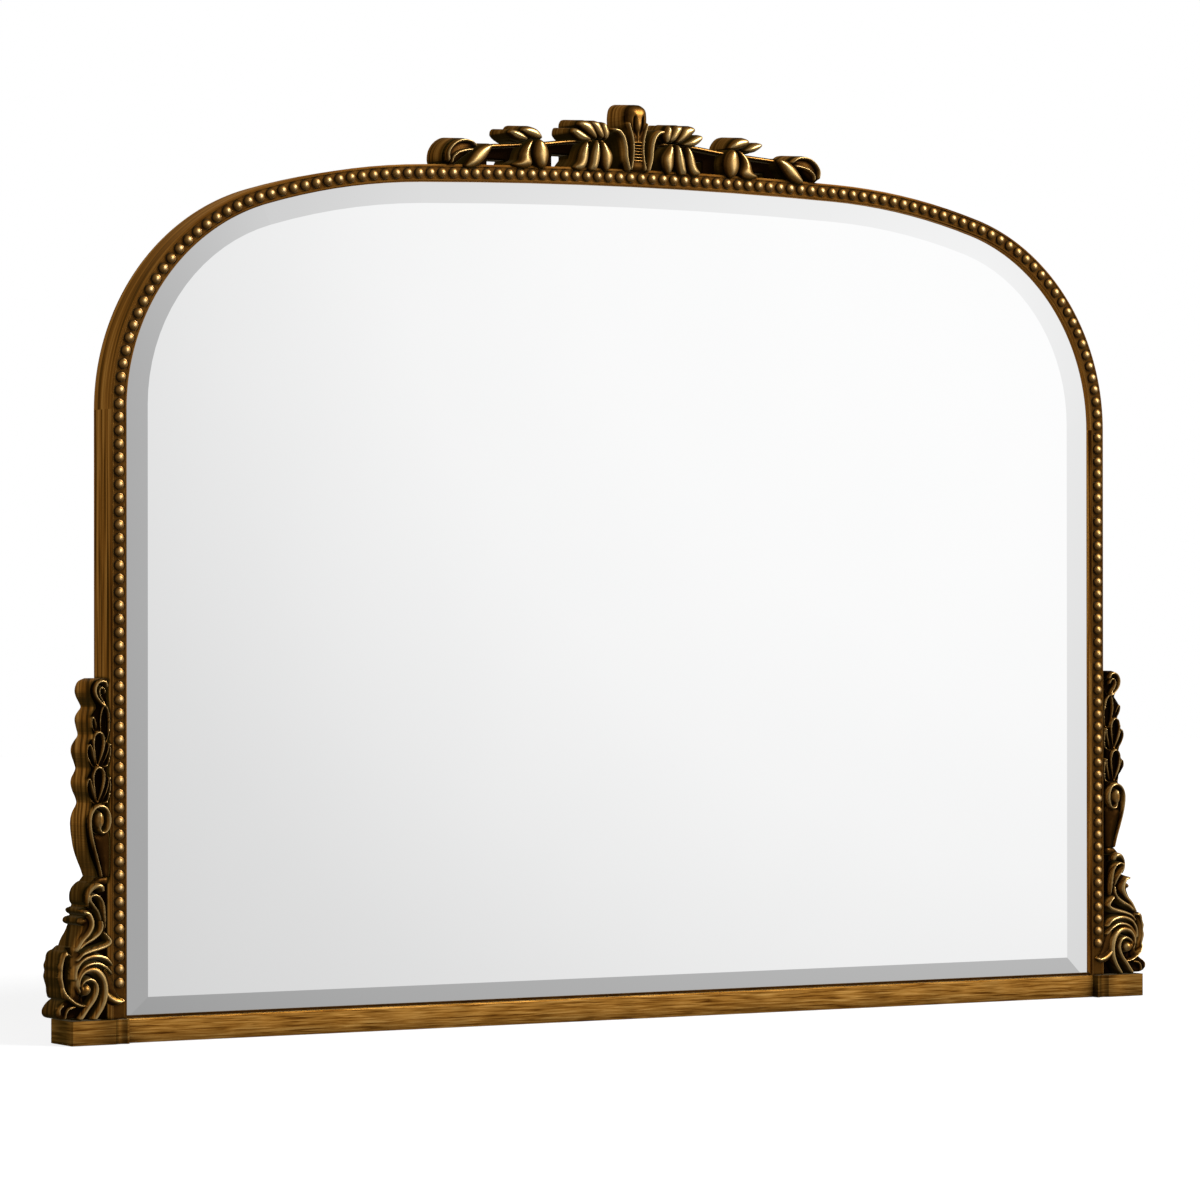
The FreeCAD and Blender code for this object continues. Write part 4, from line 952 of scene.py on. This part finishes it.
def bead_gold():
    """Gold on the beads: a painted highlight on their tops and painted shade at their foot."""
    s = Gilding("antique_gold_beads", lacquer=0.12)
    height = s.math("SUBTRACT", FACE_Y * MM, s.split(s.place())["Y"])
    mottle = s.noise((240, 240, 240), detail=3)
    level = s.math("ADD", height, s.spread(mottle, 0.25, 0.75, -0.0004, 0.0004))
    # Painted light by height: shade at the foot, highlight on the top
    colour = s.ramp(s.spread(level, -0.0008, 0.0043), BEAD_GOLD)
    s.gild(colour, reach=0.004, shut=0.35, wide=0.75)
    s.rough(s.spread(mottle, 0.3, 0.7, 0.44, 0.52))
    return s.material


def silvered_glass():
    """Mirror: clear silvering with the faintest of ripples in its polish."""
    s = Surface("silvered_glass", roughness=0.0, metallic=1.0)
    haze = s.noise((6, 6, 6), detail=2)
    s.colour(s.ramp(haze, [(0.2, (0.98, 0.982, 0.983)), (0.8, (0.992, 0.993, 0.993))]))
    s.rough(s.spread(haze, 0.2, 0.8, 0.004, 0.012))
    return s.material


BROAD_GRAIN = 0.18
BRIGHT_GRAIN = 1.12


def wood(name, pale, dark, scale):
    """Planed wood. The scale gives the fineness of its grain along each axis."""
    s = Surface(name, roughness=0.62)
    broad = s.noise(tuple(v * BROAD_GRAIN for v in scale), detail=2, distortion=0.6)
    grain = s.noise(scale, detail=4, roughness=0.65, distortion=0.2)
    bright = tuple(min(1, v * BRIGHT_GRAIN) for v in pale)
    s.colour(s.ramp(s.weigh(broad, grain, share=0.55), [(0.34, dark), (0.5, pale), (0.66, bright)]))
    s.rough(s.spread(grain, 0.3, 0.7, 0.72, 0.52))
    s.bump(grain, strength=0.2, distance=0.0004)
    return s.material


def rubber():
    s = Surface("setting_rubber", roughness=0.85)
    dust = s.noise((300, 300, 300), detail=3)
    s.colour(s.ramp(dust, [(0.3, (0.012, 0.012, 0.012)), (0.7, (0.035, 0.034, 0.033))]))
    s.bump(dust, strength=0.2, distance=0.0003)
    return s.material


def zinc():
    s = Surface("zinc_steel", roughness=0.35, metallic=1.0)
    brush = s.noise((900, 900, 60), detail=3)
    spangle = s.noise((140, 140, 140), detail=2)
    s.colour(s.ramp(spangle, [(0.3, (0.46, 0.46, 0.45)), (0.7, (0.66, 0.67, 0.66))]))
    s.rough(s.spread(brush, 0.3, 0.7, 0.26, 0.44))
    s.bump(brush, strength=0.08, distance=0.0002)
    return s.material


def dress(material, *names):
    for name in names:
        mesh = frame["nodes"][name].data
        mesh.materials.clear()
        mesh.materials.append(material)


def pair(name):
    return "left_" + name, "right_" + name


# Woods of the back: pale and dark grain
BIRCH = ((0.60, 0.42, 0.235), (0.46, 0.30, 0.15))
PINE = ((0.66, 0.46, 0.235), (0.47, 0.27, 0.10))
BEECH = ((0.58, 0.38, 0.20), (0.44, 0.26, 0.12))


def dress_frame():
    dress(member_gold("antique_gold_stile", upright=True), *pair("stile"))
    dress(member_gold("antique_gold_arch", upright=False), *pair("shoulder"), "crown_rail")
    dress(base_gold("antique_gold_rail", shade=1.0, patches=0.15), "bottom_rail")
    # The blocks take a darker copy of the rail's gold and more patches of painted shade
    dress(base_gold("antique_gold_block", shade=0.85, patches=0.6), *pair("plinth_block"))
    dress(slip_gold(), "bottom_slip")
    dress(bead_gold(), *pair("stile_beads"), *pair("shoulder_beads"), "crown_beads")
    dress(silvered_glass(), "mirror_glass")
    dress(wood("birch_ply", *BIRCH, scale=(4, 60, 90)), "backing_board")
    dress(wood("pine_across", *PINE, scale=(8, 220, 220)), "bottom_fillet", "crown_fillet")
    dress(wood("pine_upright", *PINE, scale=(220, 220, 8)), *pair("back_fillet"), *pair("shoulder_fillet"))
    dress(wood("beech_peg", *BEECH, scale=(160, 160, 160)), "stile_foot_dowels", "stile_head_dowels",
          "crown_dowels", "rail_dowels", "crest_pins", "side_ornament_pins")
    dress(rubber(), "setting_blocks")
    dress(zinc(), *pair("hanger_strap"), *pair("hanger_ring"), "hanger_screws", "fillet_screws")


def quiet_reflections(pieces):
    """Keeps the frame's own edge and its carving out of the mirror, as in the photo."""
    sided = ("stile", "shoulder", "stile_beads", "shoulder_beads", "plinth_block")
    names = [name for kind in sided for name in pair(kind)]
    names += ["crown_rail", "crown_beads", "bottom_rail", "bottom_slip"]
    for piece in pieces + [frame["nodes"][name] for name in names]:
        piece.visible_glossy = False


def dress_carving():
    crest_gold = carving_gold("antique_gold_crest", upright=False, reach=0.016)
    side_gold = carving_gold("antique_gold_sides", upright=True, reach=0.007)
    pieces = [carved_piece("crest_cartouche", cartouche(), crest_gold)]
    for make, node, gold in ((crest_spray, "crest_spray", crest_gold), (husk_drop, "husk_drop", side_gold),
                             (scroll_bracket, "scroll_bracket", side_gold)):
        shells = make()
        pieces.append(carved_piece("right_" + node, shells, gold))
        pieces.append(carved_piece("left_" + node, shells, gold, mirrored=True))
    return pieces


# Stage

# Floor: half of its width, how far it lies under the mirror, its grey, and its glow by distance
FLOOR_HALF = 9.0
FLOOR_DROP = 0.0005
FLOOR_GREY = (0.34, 0.34, 0.34)
FLOOR_GLOW = (0.7, 1.7, 0.74, 1.0)

# Window that shiny surfaces see: its direction and spread in degrees, and its glow from the middle outwards
WINDOW_AZIMUTH = 37.0
WINDOW_RISE = 5.5
WINDOW_SPREAD = 40.0
WINDOW_GLOW = [
    (0.0, 1.0), (0.10, 0.99), (0.16, 0.965), (0.21, 0.92), (0.26, 0.84), (0.31, 0.745),
    (0.36, 0.675), (0.45, 0.57), (0.53, 0.47), (0.58, 0.385), (0.80, 0.30), (1.0, 0.25)]

# The room that shiny surfaces see dims towards its foot: from and to heights, then from and to levels
ROOM_FOOT = (-0.50, -0.14, 0.50, 1.0)
AMBIENT = 0.30


def floor():
    """Pale floor that keeps the mirror's soft shadow."""
    corners = [(x * FLOOR_HALF, y * FLOOR_HALF, 0) for x, y in ((-1, -1), (1, -1), (1, 1), (-1, 1))]
    mesh = bpy.data.meshes.new("floor")
    mesh.from_pydata(corners, [], [(0, 1, 2, 3)])
    plate = added("floor", mesh)
    plate.location.z = -FLOOR_DROP
    s = Surface("pale_floor", roughness=0.9)
    s.colour(FLOOR_GREY)
    distance = s.node("ShaderNodeVectorMath", {0: s.place()}, operation="LENGTH").outputs["Value"]
    glow = s.math("MULTIPLY", s.seen(), s.spread(distance, *FLOOR_GLOW))
    s.fill(s.shader, {"Specular IOR Level": 0.0, "Emission Color": (1, 1, 1, 1), "Emission Strength": glow})
    mesh.materials.append(s.material)
    plate.visible_glossy = False


def bearing(azimuth, rise):
    """Direction out from the mirror's face, turned to its right and raised by degrees."""
    a, e = math.radians(azimuth), math.radians(rise)
    return Vector((math.sin(a) * math.cos(e), -math.cos(a) * math.cos(e), math.sin(e)))


def world():
    """White to the eye. Shiny surfaces see a pale room with a soft window to the front right."""
    made = bpy.data.worlds.new("studio")
    made.use_nodes = True
    bpy.context.scene.world = made
    s = Nodes(made.node_tree)
    outward = s.node("ShaderNodeTexCoord").outputs["Generated"]
    window = bearing(WINDOW_AZIMUTH, WINDOW_RISE)
    toward = s.node("ShaderNodeVectorMath", {0: outward, 1: window}, operation="DOT_PRODUCT")
    angle = s.math("ARCCOSINE", toward.outputs["Value"])
    share = s.math("DIVIDE", angle, math.radians(WINDOW_SPREAD))
    glow = s.ramp(share, [(place, (level, level, level)) for place, level in WINDOW_GLOW])
    room = s.mix(1.0, glow, s.spread(s.split(outward)["Z"], *ROOM_FOOT), blend="MULTIPLY")
    shiny = s.node("ShaderNodeLightPath").outputs["Is Glossy Ray"]
    light = s.mix(shiny, (AMBIENT, AMBIENT, AMBIENT), room)
    shown = s.mix(s.seen(), light, (1, 1, 1))
    s.fill(s.tree.nodes["Background"], {"Color": shown})


def lamp(name, azimuth, rise, distance, size, power, shine=True):
    """Soft square lamp aimed at the middle of the mirror. One without shine makes no highlights."""
    toward = bearing(azimuth, rise)
    data = bpy.data.lights.new(name, "AREA")
    data.size = size
    data.energy = power
    made = added(name, data)
    made.location = (CAD_BOX[0] + CAD_BOX[1]) / 2 + toward * distance
    made.rotation_mode = "QUATERNION"
    made.rotation_quaternion = (-toward).to_track_quat("-Z", "Y")
    made.visible_glossy = shine


# Camera of the photograph, fitted to the beads, the arch and the base line of a 1200 by 1200 image
FOCAL_PIXELS = 5181.45
IMAGE_PIXELS = 1200.0
SENSOR = 36.0
CAMERA_PLACE = Vector((-2.6993, -4.4558, 0.4030))
CAMERA_YAW = 31.021
CAMERA_PITCH = 0.170
CAMERA_ROLL = -0.046


def camera():
    data = bpy.data.cameras.new("photo_camera")
    data.sensor_width = SENSOR
    data.lens = SENSOR * FOCAL_PIXELS / IMAGE_PIXELS
    data.clip_end = 100
    made = added("photo_camera", data)
    turn = Matrix.Rotation(math.radians(-CAMERA_YAW), 4, "Z")
    tilt = Matrix.Rotation(math.radians(90 + CAMERA_PITCH), 4, "X")
    roll = Matrix.Rotation(math.radians(CAMERA_ROLL), 4, "Z")
    made.matrix_world = Matrix.Translation(CAMERA_PLACE) @ turn @ tilt @ roll
    bpy.context.scene.camera = made


dress_frame()
quiet_reflections(dress_carving())
floor()
world()
lamp("key", azimuth=36, rise=40, distance=3.2, size=1.7, power=112)
lamp("fill", azimuth=-70, rise=25, distance=3.4, size=1.6, power=45, shine=False)
camera()
bpy.context.scene.view_settings.view_transform = "Standard"
